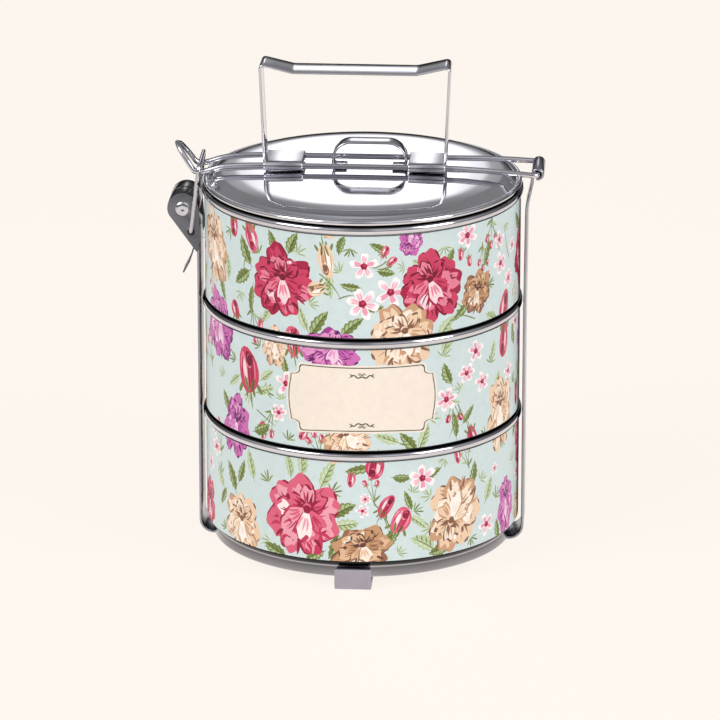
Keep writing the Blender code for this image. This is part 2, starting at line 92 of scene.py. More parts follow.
# ---------------------------------------------------------------- material tools
class Nodes:
    """Adds nodes to a material or world and links them; an input is a socket or a plain value."""

    def __init__(self, owner):
        owner.use_nodes = True
        self.tree = owner.node_tree
        self.tree.nodes.clear()

    def add(self, kind, inputs=None, **settings):
        node = self.tree.nodes.new(kind)
        for name, value in settings.items():
            setattr(node, name, value)
        for name, value in (inputs or {}).items():
            if isinstance(value, bpy.types.NodeSocket):
                self.tree.links.new(value, node.inputs[name])
            else:
                node.inputs[name].default_value = value
        return node

    def math(self, operation, a, b=0.0, c=0.0):
        return self.add("ShaderNodeMath", {0: a, 1: b, 2: c}, operation=operation).outputs[0]

    def ramp(self, factor, stops, interpolation="LINEAR"):
        node = self.add("ShaderNodeValToRGB", {"Fac": factor})
        node.color_ramp.interpolation = interpolation
        elements = node.color_ramp.elements
        while len(elements) < len(stops):
            elements.new(0.5)
        for element, (place, colour) in zip(elements, stops):
            element.position = place
            element.color = (*colour, 1.0)
        return node.outputs["Color"]

    def mix(self, factor, a, b, blend="MIX"):
        node = self.add("ShaderNodeMix", data_type="RGBA", blend_type=blend)
        for socket, value in ((0, factor), (6, a), (7, b)):
            if isinstance(value, bpy.types.NodeSocket):
                self.tree.links.new(value, node.inputs[socket])
            else:
                node.inputs[socket].default_value = value
        return node.outputs[2]

    def noise(self, vector, scale, detail=3.0, roughness=0.5):
        inputs = {"Vector": vector, "Scale": scale, "Detail": detail, "Roughness": roughness}
        return self.add("ShaderNodeTexNoise", inputs).outputs["Fac"]

    def mapped(self, scale=(1.0, 1.0, 1.0)):
        """The piece's own coordinates, stretched."""
        place = self.add("ShaderNodeTexCoord").outputs["Object"]
        return self.add("ShaderNodeMapping", {"Vector": place, "Scale": scale}).outputs["Vector"]

    def round_place(self):
        """Coordinates round the Z axis: (angle, radius, height)."""
        place = self.add("ShaderNodeTexCoord").outputs["Object"]
        split = self.add("ShaderNodeSeparateXYZ", {"Vector": place})
        x, y, z = split.outputs
        angle = self.math("ARCTAN2", x, y)
        radius = self.math("SQRT", self.math("ADD", self.math("MULTIPLY", x, x), self.math("MULTIPLY", y, y)))
        return angle, radius, z

    def finish(self, shader):
        self.add("ShaderNodeOutputMaterial", {"Surface": shader.outputs[0]})


def grey(value):
    return (value, value, value)


def steel_nodes(name, colour, roughness, spread, grain, grain_depth, dark=0.82):
    """Steel: cloudy tone, uneven roughness, and a grain of fine lines given by a stretched noise."""
    material = bpy.data.materials.new(name)
    nodes = Nodes(material)
    cloud = nodes.noise(nodes.mapped((1.0, 1.0, 1.0)), 38.0, 4.0, 0.55)
    lines = nodes.noise(nodes.mapped(grain), 900.0, 2.0, 0.6)
    smudge = nodes.noise(nodes.mapped((1.0, 1.0, 0.7)), 120.0, 5.0, 0.65)
    deep = tuple(dark * c for c in colour)
    tone = nodes.ramp(cloud, [(0.3, deep), (0.7, colour)])
    fine = nodes.ramp(lines, [(0.3, grey(0.93)), (0.7, grey(1.0))])
    base = nodes.mix(1.0, tone, fine, "MULTIPLY")
    worn = nodes.add("ShaderNodeMapRange", {
        "Value": smudge, "From Min": 0.3, "From Max": 0.75,
        "To Min": roughness - spread, "To Max": roughness + spread}).outputs[0]
    bump = nodes.add("ShaderNodeBump", {"Strength": 1.0, "Distance": grain_depth, "Height": lines})
    shader = nodes.add("ShaderNodeBsdfPrincipled", {
        "Base Color": base, "Metallic": 1.0, "Roughness": worn, "Normal": bump.outputs["Normal"]})
    nodes.finish(shader)
    return material


def lid_gap_painted_shade(nodes, radius, height):
    """Painted shade: a dark line on the lid's bead where it sits on the top rim, standing for the shaded gap there."""
    above = nodes.math("DIVIDE", nodes.math("SUBTRACT", height, RIM_PLANE - 1.0 * MM), 4.0 * MM)
    return nodes.ramp(above, [(0.0, grey(0.03)), (0.33, grey(0.05)), (0.42, grey(0.85)), (0.5, grey(1.0))])


def bowl_painted_shade_and_reflection(nodes, radius, height):
    """Painted shade and painted reflection: dark lines over each rim and under each film for the shaded gaps there, and
    dark bands on the base ring for a dark reflection.
    """
    up = nodes.math("SUBTRACT", height, SEATS["bottom"])
    local = nodes.math("DIVIDE", nodes.math("FLOORED_MODULO", up, TIER_PITCH), 10.0 * MM)
    # Painted reflection bands low on the wall, and painted shade in the gaps, by height within each tier.
    wall = nodes.ramp(local, [
        (0.0, grey(0.85)), (0.05, grey(0.55)), (0.12, grey(0.42)), (0.30, grey(0.34)), (0.44, grey(0.22)),
        (0.52, grey(0.75)), (0.60, grey(0.45)), (0.66, grey(0.04)), (0.82, grey(0.05)), (0.86, grey(1.0))])
    # Painted shade on the rim's bead, next to the shaded gaps.
    bead = nodes.ramp(local, [
        (0.0, grey(1.0)), (0.38, grey(0.45)), (0.43, grey(1.0)), (0.60, grey(1.0)), (0.66, grey(0.35)), (0.69, grey(0.05)),
        (0.82, grey(0.05)), (0.86, grey(1.0))])
    outer = nodes.math("GREATER_THAN", radius, BOWL_RADIUS - 0.2 * MM)
    return nodes.mix(outer, wall, bead)


def spun_steel(name, colour, roughness, spread, painted_shade=None):
    """Polished turned steel: faint circular polishing lines round the Z axis, and soft smudges; an optional function
    multiplies painted shade into the colour.
    """
    material = bpy.data.materials.new(name)
    nodes = Nodes(material)
    angle, radius, height = nodes.round_place()
    along = nodes.math("MULTIPLY", angle, 0.010)
    polar = nodes.add("ShaderNodeCombineXYZ", {"X": along, "Y": radius, "Z": height}).outputs[0]
    lines = nodes.noise(polar, 2600.0, 2.0, 0.55)
    cloud = nodes.noise(nodes.mapped(), 26.0, 3.0, 0.5)
    smudge = nodes.noise(nodes.mapped(), 90.0, 5.0, 0.65)
    deep = tuple(0.90 * c for c in colour)
    tone = nodes.ramp(cloud, [(0.35, deep), (0.65, colour)])
    fine = nodes.ramp(lines, [(0.3, grey(0.95)), (0.7, grey(1.0))])
    base = nodes.mix(1.0, tone, fine, "MULTIPLY")
    # Painted shade (and, for the bowls, painted reflection) multiplied into the colour by height.
    if painted_shade:
        base = nodes.mix(1.0, base, painted_shade(nodes, radius, height), "MULTIPLY")
    worn = nodes.add("ShaderNodeMapRange", {
        "Value": smudge, "From Min": 0.3, "From Max": 0.75,
        "To Min": roughness - spread, "To Max": roughness + spread}).outputs[0]
    bump = nodes.add("ShaderNodeBump", {"Strength": 1.0, "Distance": 0.0006 * MM, "Height": lines})
    shader = nodes.add("ShaderNodeBsdfPrincipled", {
        "Base Color": base, "Metallic": 1.0, "Roughness": worn, "Normal": bump.outputs["Normal"]})
    nodes.finish(shader)
    return material


def black_plastic():
    """Glossy black moulded plastic with a faint orange-peel surface and scuffed patches."""
    material = bpy.data.materials.new("black_plastic_look")
    nodes = Nodes(material)
    peel = nodes.noise(nodes.mapped(), 1400.0, 2.0, 0.5)
    scuff = nodes.noise(nodes.mapped((1.0, 3.0, 1.0)), 260.0, 5.0, 0.7)
    base = nodes.ramp(scuff, [(0.45, (0.003, 0.003, 0.003)), (0.8, (0.012, 0.012, 0.014))])
    worn = nodes.ramp(scuff, [(0.4, grey(0.08)), (0.8, grey(0.22))])
    bump = nodes.add("ShaderNodeBump", {"Strength": 0.6, "Distance": 0.004 * MM, "Height": peel})
    shader = nodes.add("ShaderNodeBsdfPrincipled", {
        "Base Color": base, "Roughness": worn, "Specular IOR Level": 0.4, "Normal": bump.outputs["Normal"]})
    nodes.finish(shader)
    return material


def print_look():
    """Glossy printed film: painted colours, a fine cloth weave in the ground, slight ink mottle."""
    material = bpy.data.materials.new("printed_film_look")
    nodes = Nodes(material)
    painted = nodes.add("ShaderNodeVertexColor", layer_name="print_colour").outputs["Color"]
    angle, radius, height = nodes.round_place()
    thread = 0.32 * MM
    across = nodes.math("MULTIPLY", nodes.math("MULTIPLY", angle, BOWL_RADIUS), 2 * pi / thread)
    up = nodes.math("MULTIPLY", height, 2 * pi / thread)
    warp = nodes.math("SINE", across)
    weft = nodes.math("SINE", up)
    cloth = nodes.math("MULTIPLY", warp, weft)
    around = nodes.math("MULTIPLY", angle, BOWL_RADIUS)
    flat = nodes.add("ShaderNodeCombineXYZ", {"X": around, "Y": 0.0, "Z": height}).outputs[0]
    slub = nodes.noise(nodes.add("ShaderNodeMapping", {
        "Vector": flat, "Scale": (1.0, 1.0, 7.0)}).outputs["Vector"], 420.0, 3.0, 0.6)
    mottle = nodes.noise(flat, 240.0, 4.0, 0.6)
    woven = nodes.ramp(nodes.math("MULTIPLY_ADD", cloth, 0.5, 0.5), [(0.0, grey(0.975)), (1.0, grey(1.0))])
    slubs = nodes.ramp(slub, [(0.35, grey(0.965)), (0.65, grey(1.0))])
    ink = nodes.ramp(mottle, [(0.3, grey(0.95)), (0.7, grey(1.02))])
    base = nodes.mix(1.0, nodes.mix(1.0, painted, woven, "MULTIPLY"), slubs, "MULTIPLY")
    base = nodes.mix(1.0, base, ink, "MULTIPLY")
    bump = nodes.add("ShaderNodeBump", {"Strength": 0.35, "Distance": 0.01 * MM, "Height": cloth})
    worn = nodes.ramp(mottle, [(0.3, grey(0.34)), (0.7, grey(0.46))])
    shader = nodes.add("ShaderNodeBsdfPrincipled", {
        "Base Color": base, "Roughness": worn, "Specular IOR Level": 0.35, "Normal": bump.outputs["Normal"]})
    nodes.finish(shader)
    return material


# The bowls and the lid carry painted shade in their gaps; the bowls also a painted dark reflection on the base ring.
BOWL_STEEL = spun_steel("bowl_steel_look", (0.76, 0.75, 0.80), 0.085, 0.030, bowl_painted_shade_and_reflection)
LID_STEEL = spun_steel("lid_steel_look", (0.78, 0.77, 0.81), 0.060, 0.025, lid_gap_painted_shade)
BRIGHT = steel_nodes("bright_wire_look", (0.72, 0.71, 0.76), 0.13, 0.05, (1.0, 1.0, 1.0), 0.0010 * MM)
SATIN = steel_nodes("satin_strap_look", (0.44, 0.44, 0.49), 0.24, 0.06, (1.0, 0.05, 1.0), 0.0030 * MM)
DULL = steel_nodes("dull_steel_look", (0.23, 0.235, 0.27), 0.36, 0.08, (0.3, 1.0, 1.0), 0.0060 * MM, 0.65)
MATTE = steel_nodes("matte_foot_look", (0.50, 0.47, 0.55), 0.52, 0.08, (1.0, 1.0, 1.0), 0.0080 * MM, 0.85)
PLASTIC = black_plastic()
PRINT = print_look()


# ---------------------------------------------------------------- mesh tools
def shade(mesh, angle=32):
    mesh.shade_smooth()
    mesh.set_sharp_from_angle(angle=radians(angle))


def add_piece(name, mesh, material, body, nodes=()):
    """Link a mesh as a piece that rides a body and stands for CAD nodes."""
    piece = bpy.data.objects.new(name, mesh)
    mesh.materials.append(material)
    bpy.context.scene.collection.objects.link(piece)
    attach(piece, body)
    if nodes:
        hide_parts(*nodes)
    return piece


def new_mesh(name, points, faces, angle=32):
    """A mesh with its faces turned outwards."""
    mesh = bpy.data.meshes.new(name)
    mesh.from_pydata(points, [], faces)
    body = bmesh.new()
    body.from_mesh(mesh)
    bmesh.ops.recalc_face_normals(body, faces=body.faces)
    body.to_mesh(mesh)
    body.free()
    shade(mesh, angle)
    return mesh


def turned_mesh(name, profile, origin, turn=Matrix.Identity(3), steps=TURN_STEPS, closed=False, angle=32):
    """Turn a profile of (radius, height) about its own Z; a zero radius closes to a point."""
    points = []
    rings = []
    for radius, height in profile:
        if radius < 1e-7:
            rings.append([len(points)])
            points.append(origin + turn @ Vector((0.0, 0.0, height)))
            continue
        first = len(points)
        for i in range(steps):
            a = 2 * pi * i / steps
            points.append(origin + turn @ Vector((radius * cos(a), radius * sin(a), height)))
        rings.append(list(range(first, first + steps)))
    pairs = list(zip(rings, rings[1:]))
    if closed:
        pairs.append((rings[-1], rings[0]))
    faces = []
    for low, high in pairs:
        for i in range(steps):
            j = (i + 1) % steps
            corner = [low[i % len(low)], low[j % len(low)], high[j % len(high)], high[i % len(high)]]
            faces.append(list(dict.fromkeys(corner)))
    return new_mesh(name, points, faces, angle)


def arc(centre, radius, start, end, count):
    """Points on an arc; angles in degrees, from the first axis to the second."""
    span = radians(end - start)
    angles = [radians(start) + span * i / count for i in range(count + 1)]
    return [(centre[0] + radius * cos(a), centre[1] + radius * sin(a)) for a in angles]


def oval(centre, half_width, half_height, start, end, count):
    unit = arc((0.0, 0.0), 1.0, start, end, count)
    return [(centre[0] + half_width * x, centre[1] + half_height * y) for x, y in unit]


def rounded(points, radii, count=8):
    """A polyline with each inner corner replaced by an arc of its own radius."""
    path = [points[0]]
    for before, corner, after, radius in zip(points, points[1:], points[2:], radii):
        back = Vector(before) - Vector(corner)
        ahead = Vector(after) - Vector(corner)
        half = back.angle(ahead) / 2
        reach = radius * cos(half) / sin(half)
        start = Vector(corner) + back.normalized() * reach
        finish = Vector(corner) + ahead.normalized() * reach
        middle = (back.normalized() + ahead.normalized()).normalized()
        centre = Vector(corner) + middle * (radius / sin(half))
        first = start - centre
        last = finish - centre
        turn = atan2(first.x * last.y - first.y * last.x, first.dot(last))
        base = atan2(first.y, first.x)
        for i in range(count + 1):
            a = base + turn * i / count
            path.append((centre.x + radius * cos(a), centre.y + radius * sin(a)))
    path.append(points[-1])
    return path


def spaced(path, step):
    """The same path with extra points, so that no stretch is longer than step."""
    points = [Vector(path[0])]
    for a, b in zip(path, path[1:]):
        a = Vector(a)
        b = Vector(b)
        count = max(1, int((b - a).length / step + 0.999))
        points += [a.lerp(b, (i + 1) / count) for i in range(count)]
    return points


def round_section(radius, count=14):
    return [(radius * cos(2 * pi * i / count), radius * sin(2 * pi * i / count)) for i in range(count)]


def flat_section(width, sheet, edge=None):
    """A strip's cross-section with rounded edges: across the width, then through the sheet."""
    edge = edge or sheet * 0.42
    corners = []
    for sx, sy, start in ((1, 1, 0), (-1, 1, 90), (-1, -1, 180), (1, -1, 270)):
        centre = (sx * (width / 2 - edge), sy * (sheet / 2 - edge))
        corners += arc(centre, edge, start, start + 90, 3)
    return corners


def sweep(name, path, section, sides=None, closed=False, chamfer=0.0, angle=40):
    """Carry a section along a path. sides gives the section's first axis; without it, it is carried along."""
    points = [Vector(p) for p in path]
    count = len(points)
    tangents = []
    for i in range(count):
        before = points[i - 1] if (closed or i) else points[i]
        after = points[(i + 1) % count] if (closed or i < count - 1) else points[i]
        tangents.append((after - before).normalized())
    side = sides or tangents[0].orthogonal()
    verts = []
    rings = []
    for i, (point, tangent) in enumerate(zip(points, tangents)):
        side = (side - tangent * side.dot(tangent)).normalized()
        up = tangent.cross(side).normalized()
        stretch = 1.0
        if sides is not None:
            before = (point - points[i - 1]).normalized() if (closed or i) else tangent
            stretch = 1.0 / max(0.6, tangent.dot(before))
        ends = [(0.0, 1.0)]
        if not closed and chamfer and i == 0:
            ends = [(0.0, 1.0 - chamfer), (0.0, 1.0)]
        if not closed and chamfer and i == count - 1:
            ends = [(0.0, 1.0), (0.0, 1.0 - chamfer)]
        for k, (_, shrink) in enumerate(ends):
            shift = Vector()
            if len(ends) == 2 and shrink == 1.0:
                depth = min(abs(a) for a in (max(b for _, b in section), max(a for a, _ in section))) * chamfer
                shift = tangent * (depth if i == 0 else -depth)
            first = len(verts)
            verts += [point + shift + side * (a * shrink) + up * (b * shrink * stretch) for a, b in section]
            rings.append(list(range(first, first + len(section))))
    faces = []
    pairs = list(zip(rings, rings[1:]))
    if closed:
        pairs.append((rings[-1], rings[0]))
    size = len(section)
    for low, high in pairs:
        faces += [[low[k], low[(k + 1) % size], high[(k + 1) % size], high[k]] for k in range(size)]
    if not closed:
        faces += [rings[0][::-1], rings[-1]]
    return new_mesh(name, verts, faces, angle)


def in_plane(path, y=0.0):
    """XZ pairs as points."""
    return [Vector((p[0], y, p[1])) for p in path]


def plate_mesh(name, outline, holes, sheet, origin, bevel, depth_axis_x=False):
    """A flat plate from an XZ outline with holes, its edges rounded, centred on origin."""
    curve = bpy.data.curves.new(name, "CURVE")
    curve.dimensions = "2D"
    curve.fill_mode = "BOTH"
    curve.bevel_depth = bevel
    curve.bevel_resolution = 2
    curve.offset = -bevel
    curve.extrude = sheet / 2 - bevel
    for loop in [outline, *holes]:
        spline = curve.splines.new("POLY")
        spline.points.add(len(loop) - 1)
        spline.use_cyclic_u = True
        for point, (u, v) in zip(spline.points, loop):
            point.co = (u, v, 0.0, 1.0)
    holder = bpy.data.objects.new(name, curve)
    bpy.context.scene.collection.objects.link(holder)
    bpy.context.view_layer.update()
    mesh = bpy.data.meshes.new_from_object(holder.evaluated_get(bpy.context.evaluated_depsgraph_get()))
    bpy.data.objects.remove(holder)
    bpy.data.curves.remove(curve)
    mesh.materials.clear()
    mesh.transform(Matrix.Translation(origin) @ Matrix.Rotation(pi / 2, 4, "X"))
    body = bmesh.new()
    body.from_mesh(mesh)
    bmesh.ops.remove_doubles(body, verts=body.verts, dist=0.0005 * MM)
    bmesh.ops.recalc_face_normals(body, faces=body.faces)
    body.to_mesh(mesh)
    body.free()
    shade(mesh, 35)
    return mesh


def join(name, meshes):
    """One mesh from several."""
    body = bmesh.new()
    for mesh in meshes:
        body.from_mesh(mesh)
    joined = bpy.data.meshes.new(name)
    body.to_mesh(joined)
    body.free()
    for mesh in meshes:
        bpy.data.meshes.remove(mesh)
    shade(joined, 35)
    return joined


# ---------------------------------------------------------------- floral print
GROUND = (208, 223, 222)
LABEL_CREAM = (243, 230, 216)
LABEL_INK = (62, 70, 50)
CRIMSON = dict(dark=(118, 4, 42), deep=(168, 26, 66), mid=(205, 62, 98), light=(232, 128, 152), pale=(250, 216, 222))
PINK = dict(dark=(150, 16, 58), deep=(196, 52, 88), mid=(222, 98, 126), light=(240, 160, 176), pale=(253, 236, 234))
PURPLE = dict(dark=(92, 16, 92), deep=(158, 56, 140), mid=(205, 108, 178), light=(228, 150, 200), pale=(244, 206, 228))
CREAM = dict(dark=(134, 92, 72), deep=(204, 158, 122), mid=(238, 206, 174), light=(247, 230, 210), pale=(253, 245, 236))
TAN = dict(dark=(96, 60, 50), deep=(150, 104, 76), mid=(198, 150, 110), light=(224, 184, 148), pale=(248, 232, 214))
LEAF = dict(dark=(84, 98, 44), mid=(120, 132, 66), light=(172, 190, 140), pale=(206, 218, 186))
PALE_LEAF = dict(dark=(112, 128, 70), mid=(186, 202, 158), light=(206, 218, 184), pale=(226, 234, 214))
BLOOM = dict(dark=(150, 10, 56), mid=(238, 158, 180), light=(247, 200, 210), pale=(254, 245, 243))


class Print:
    """Painted shapes on the unrolled film, in millimetres: along the wall from the front, and height."""

    def __init__(self):
        self.shapes = []

    def fill(self, outline, colour):
        self.shapes.append((outline, colour))


class Brush:
    """Draws unit-sized shapes, scaled, turned and placed on the print."""

    def __init__(self, sheet, at, size, turn, seed):
        self.sheet = sheet
        self.at = at
        self.size = size
        self.turn = radians(turn)
        self.random = random.Random(seed)

    def place(self, x, y):
        x *= self.size[0]
        y *= self.size[1]
        c = cos(self.turn)
        s = sin(self.turn)
        return (self.at[0] + x * c - y * s, self.at[1] + x * s + y * c)

    def jitter(self, amount):
        return self.random.uniform(-amount, amount)

    def fill(self, points, colour):
        self.sheet.fill([self.place(x, y) for x, y in points], colour)

    def petal(self, base, angle, length, width, colour, waves=3, depth=0.07, root=0.35, steps=18):
        """A fan-shaped petal with a scalloped tip, from its base outwards."""
        a = radians(angle)
        phase = self.random.uniform(0, 2 * pi)
        points = []
        for i in range(steps + 1):
            t = pi * i / steps
            swell = sin(t) ** 0.62
            reach = length * swell * (1 + depth * sin(2 * waves * t + phase) * swell)
            side = width * cos(t) * (root + (1 - root) * swell)
            points.append((base[0] + reach * cos(a) - side * sin(a), base[1] + reach * sin(a) + side * cos(a)))
        self.fill(points, colour)

    def blob(self, centre, width, height, colour, waves=5, depth=0.10, turn=0.0, steps=16):
        """A round patch with a wavy edge."""
        a = radians(turn)
        phase = self.random.uniform(0, 2 * pi)
        points = []
        for i in range(steps):
            t = 2 * pi * i / steps
            r = 1 + depth * sin(waves * t + phase)
            x = width * r * cos(t)
            y = height * r * sin(t)
            points.append((centre[0] + x * cos(a) - y * sin(a), centre[1] + x * sin(a) + y * cos(a)))
        self.fill(points, colour)

    def stroke(self, start, through, end, width, colour, steps=6, blunt=0.0):
        """A tapered brush stroke along a curve."""
        left = []
        right = []
        for i in range(steps + 1):
            t = i / steps
            x = (1 - t) ** 2 * start[0] + 2 * t * (1 - t) * through[0] + t * t * end[0]
            y = (1 - t) ** 2 * start[1] + 2 * t * (1 - t) * through[1] + t * t * end[1]
            dx = 2 * (1 - t) * (through[0] - start[0]) + 2 * t * (end[0] - through[0])
            dy = 2 * (1 - t) * (through[1] - start[1]) + 2 * t * (end[1] - through[1])
            long = hypot(dx, dy) or 1.0
            half = width / 2 * (blunt * (1 - t) + (1 - blunt) * sin(pi * min(1.0, 0.12 + 0.88 * t)) ** 0.8)
            if i == steps:
                half = 0.0
            left.append((x - dy / long * half, y + dx / long * half))
            right.append((x + dy / long * half, y - dx / long * half))
        self.fill(left + right[-2::-1], colour)

    def crescent(self, centre, radius, start, end, thick, colour, steps=9):
        """A curved stroke round a centre, thick in the middle."""
        outer = []
        inner = []
        for i in range(steps + 1):
            t = i / steps
            a = radians(start + (end - start) * t)
            half = thick / 2 * sin(pi * t) ** 0.7 if 0 < i < steps else 0.0
            outer.append((centre[0] + (radius + half) * cos(a), centre[1] + (radius + half) * sin(a)))
            inner.append((centre[0] + (radius - half) * cos(a), centre[1] + (radius - half) * sin(a)))
        self.fill(outer + inner[-2:0:-1], colour)


def rose(sheet, at, size, turn, paint, seed):
    """An open cabbage rose: two rings of petals round a spiral of folded edges and a dark heart."""
    brush = Brush(sheet, at, size, turn, seed)
    heart = (0.05 + brush.jitter(0.10), 0.20 + brush.jitter(0.08))

    def ray(radius, degrees_round, centre=(0.0, 0.0)):
        a = radians(degrees_round)
        return (centre[0] + radius * cos(a), centre[1] + radius * sin(a))

    def ring(count, length, width, first, tones, glow, dip):
        """Overlapping petals, the upper ones first, each with folds and a shaded side."""
        order = sorted(range(count), key=lambda i: -sin(radians(first + 360 * i / count)))
        for i in order:
            angle = first + 360 * i / count + brush.jitter(10)
            long = length * (1 + brush.jitter(0.09))
            wide = width * (1 + brush.jitter(0.12))
            tone = tones[brush.random.randrange(len(tones))]
            brush.petal((0.0, dip), angle, long, wide * 1.06, paint["dark"], waves=3, depth=0.05, root=0.4)
            brush.petal((0.0, dip), angle + 3, long * 1.02, wide, paint[tone], waves=3, depth=0.06, root=0.4)
            shine = glow[brush.random.randrange(len(glow))]
            near = ray(long * 0.40, angle + brush.jitter(8), (0.0, dip))
            brush.petal(near, angle + brush.jitter(14), long * 0.50, wide * 0.60, paint[shine],
                        waves=3, depth=0.16, root=0.5)
            for k in range(4):
                lean = angle + (k - 1.5) * 13 + brush.jitter(4)
                start = ray(long * (0.34 + brush.jitter(0.06)), lean, (0.0, dip))
                bent = ray(long * 0.58, lean + brush.jitter(9), (0.0, dip))
                end = ray(long * (0.84 + brush.jitter(0.10)), lean + brush.jitter(4), (0.0, dip))
                ink = ("deep", "mid", "dark", "deep")[brush.random.randrange(4)]
                brush.stroke(start, bent, end, 0.050 + brush.jitter(0.020), paint[ink])

    ring(7, 1.00, 0.50, 90, ("mid", "mid", "deep"), ("light", "mid", "mid"), 0.0)
    ring(6, 0.74, 0.42, 54, ("mid", "light", "mid"), ("light", "pale"), 0.02)
    brush.blob(heart, 0.42, 0.34, paint["deep"], waves=5, depth=0.16, steps=18)
    cup = ((158, 0.52, 0.24, "mid"), (38, 0.50, 0.24, "mid"), (98, 0.46, 0.27, "light"))
    for angle, long, wide, tone in cup:
        lean = angle + brush.jitter(10)
        base = ray(0.06, angle, heart)
        brush.petal(base, lean, long + 0.04, wide * 1.15, paint["dark"], waves=3, depth=0.10, root=0.5)
        brush.petal(base, lean + 3, long, wide, paint[tone], waves=3, depth=0.12, root=0.5)
        for k in (-1, 0, 1):
            side = lean + 17 * k
            brush.stroke(ray(0.16, side, heart), ray(0.28, side + brush.jitter(12), heart), ray(0.45, side, heart),
                         0.06, paint[("deep", "dark", "deep")[k + 1]], steps=4)
    brush.blob(heart, 0.25, 0.17, paint["dark"], waves=4, depth=0.30, steps=14)
    for k in range(6):
        angle = 60 * k + brush.jitter(22)
        brush.stroke(ray(0.10, angle, heart), ray(0.24, angle + 24, heart), ray(0.34, angle + 30, heart),
                     0.09, paint["dark"], steps=4)
    brush.crescent(heart, 0.12, 20, 165, 0.06, paint["mid"], steps=5)
    front = ((212, 0.50, 0.27, "light"), (326, 0.50, 0.28, "mid"), (268, 0.60, 0.34, "pale"))
    for angle, long, wide, tone in front:
        lean = angle + brush.jitter(12)
        base = ray(0.10, angle, heart)
        brush.petal(base, lean, long + 0.05, wide * 1.12, paint["deep"], waves=3, depth=0.10, root=0.28)
        brush.petal(base, lean + 4, long, wide, paint[tone], waves=3, depth=0.14, root=0.25)
        for k in (-1, 0, 1):
            side = lean + 14 * k + brush.jitter(5)
            ink = {"pale": "light", "light": "mid", "mid": "deep"}[tone]
            brush.stroke(ray(0.22, side, heart), ray(0.36, side + brush.jitter(12), heart), ray(0.56, side, heart),
                         0.065, paint[ink], steps=4)
    for k in range(7):
        angle = 205 + 20 * k + brush.jitter(8)
        brush.stroke(ray(0.66, angle), ray(0.80, angle + brush.jitter(10)), ray(0.97, angle + brush.jitter(4)),
                     0.10, paint["dark" if k % 2 else "deep"], steps=4, blunt=0.3)


def rosebud(sheet, at, size, turn, paint, seed, calyx=True):
    """A closed bud: wrapped petals on a green calyx."""
    brush = Brush(sheet, at, size, turn, seed)
    if calyx:
        for lean in (-48, -16, 14, 44):
            brush.petal((0.012 * lean, -0.50), 270 + lean, 0.62, 0.15, LEAF["mid"], waves=1, depth=0.02, root=0.6, steps=8)
        brush.stroke((0.0, -0.9), (0.03, -1.25), (0.0 + brush.jitter(0.15), -1.65), 0.16, LEAF["mid"], steps=4, blunt=0.5)
    brush.blob((0.0, 0.0), 0.84, 0.96, paint["mid"], waves=3, depth=0.06, steps=18)
    brush.petal((-0.24, -0.62), 98, 1.30, 0.44, paint["light"], waves=2, depth=0.08, root=0.3)
    brush.petal((-0.26, -0.34), 96, 0.76, 0.22, paint["pale"], waves=2, depth=0.10, root=0.5, steps=10)
    brush.petal((0.26, -0.58), 84, 1.30, 0.38, paint["deep"], waves=2, depth=0.07, root=0.3)
    brush.blob((0.16, 0.48), 0.34, 0.30, paint["dark"], waves=3, depth=0.16, steps=12)
    brush.crescent((0.16, 0.46), 0.34, 150, 300, 0.12, paint["light"], steps=6)
    brush.crescent((0.16, 0.50), 0.16, 20, 200, 0.07, paint["mid"], steps=6)
    brush.stroke((-0.52, -0.35), (-0.62, 0.10), (-0.30, 0.72), 0.11, paint["deep"])
    brush.stroke((0.02, -0.72), (-0.04, -0.1), (0.02, 0.30), 0.12, paint["dark"])
    brush.stroke((0.46, -0.36), (0.66, 0.05), (0.46, 0.60), 0.12, paint["light"])
    if calyx:
        brush.petal((-0.14, -0.86), 112, 0.66, 0.14, LEAF["mid"], waves=1, depth=0.03, root=0.6, steps=8)
        brush.petal((0.16, -0.86), 66, 0.60, 0.13, LEAF["dark"], waves=1, depth=0.03, root=0.6, steps=8)


def blossom(sheet, at, size, turn, seed, petals=5):
    """A small open blossom: white petals, pink at the heart, wine centre."""
    brush = Brush(sheet, at, size, turn, seed)
    for i in range(petals):
        angle = 90 + 360 * i / petals + brush.jitter(7)
        length = 0.98 + brush.jitter(0.08)
        a = radians(angle)
        brush.petal((0.06 * cos(a), 0.06 * sin(a)), angle, length, 0.42, BLOOM["pale"], waves=2, depth=0.06, root=0.25)
        tone = BLOOM["mid"] if brush.random.random() < 0.6 else BLOOM["light"]
        brush.petal((0.10 * cos(a), 0.10 * sin(a)), angle + brush.jitter(8), 0.66, 0.25, tone, waves=2, depth=0.1, steps=10)
        for k in (-1, 1):
            lean = a + 0.22 * k
            brush.stroke((0.25 * cos(lean), 0.25 * sin(lean)), (0.5 * cos(lean), 0.5 * sin(lean)),
                         (0.80 * cos(lean), 0.80 * sin(lean)), 0.06, BLOOM["mid"], steps=4)
    brush.blob((0.0, 0.0), 0.25, 0.25, BLOOM["dark"], waves=5, depth=0.16, steps=12)
    brush.blob((0.05, 0.04), 0.10, 0.09, CRIMSON["mid"], waves=3, depth=0.1, steps=8)


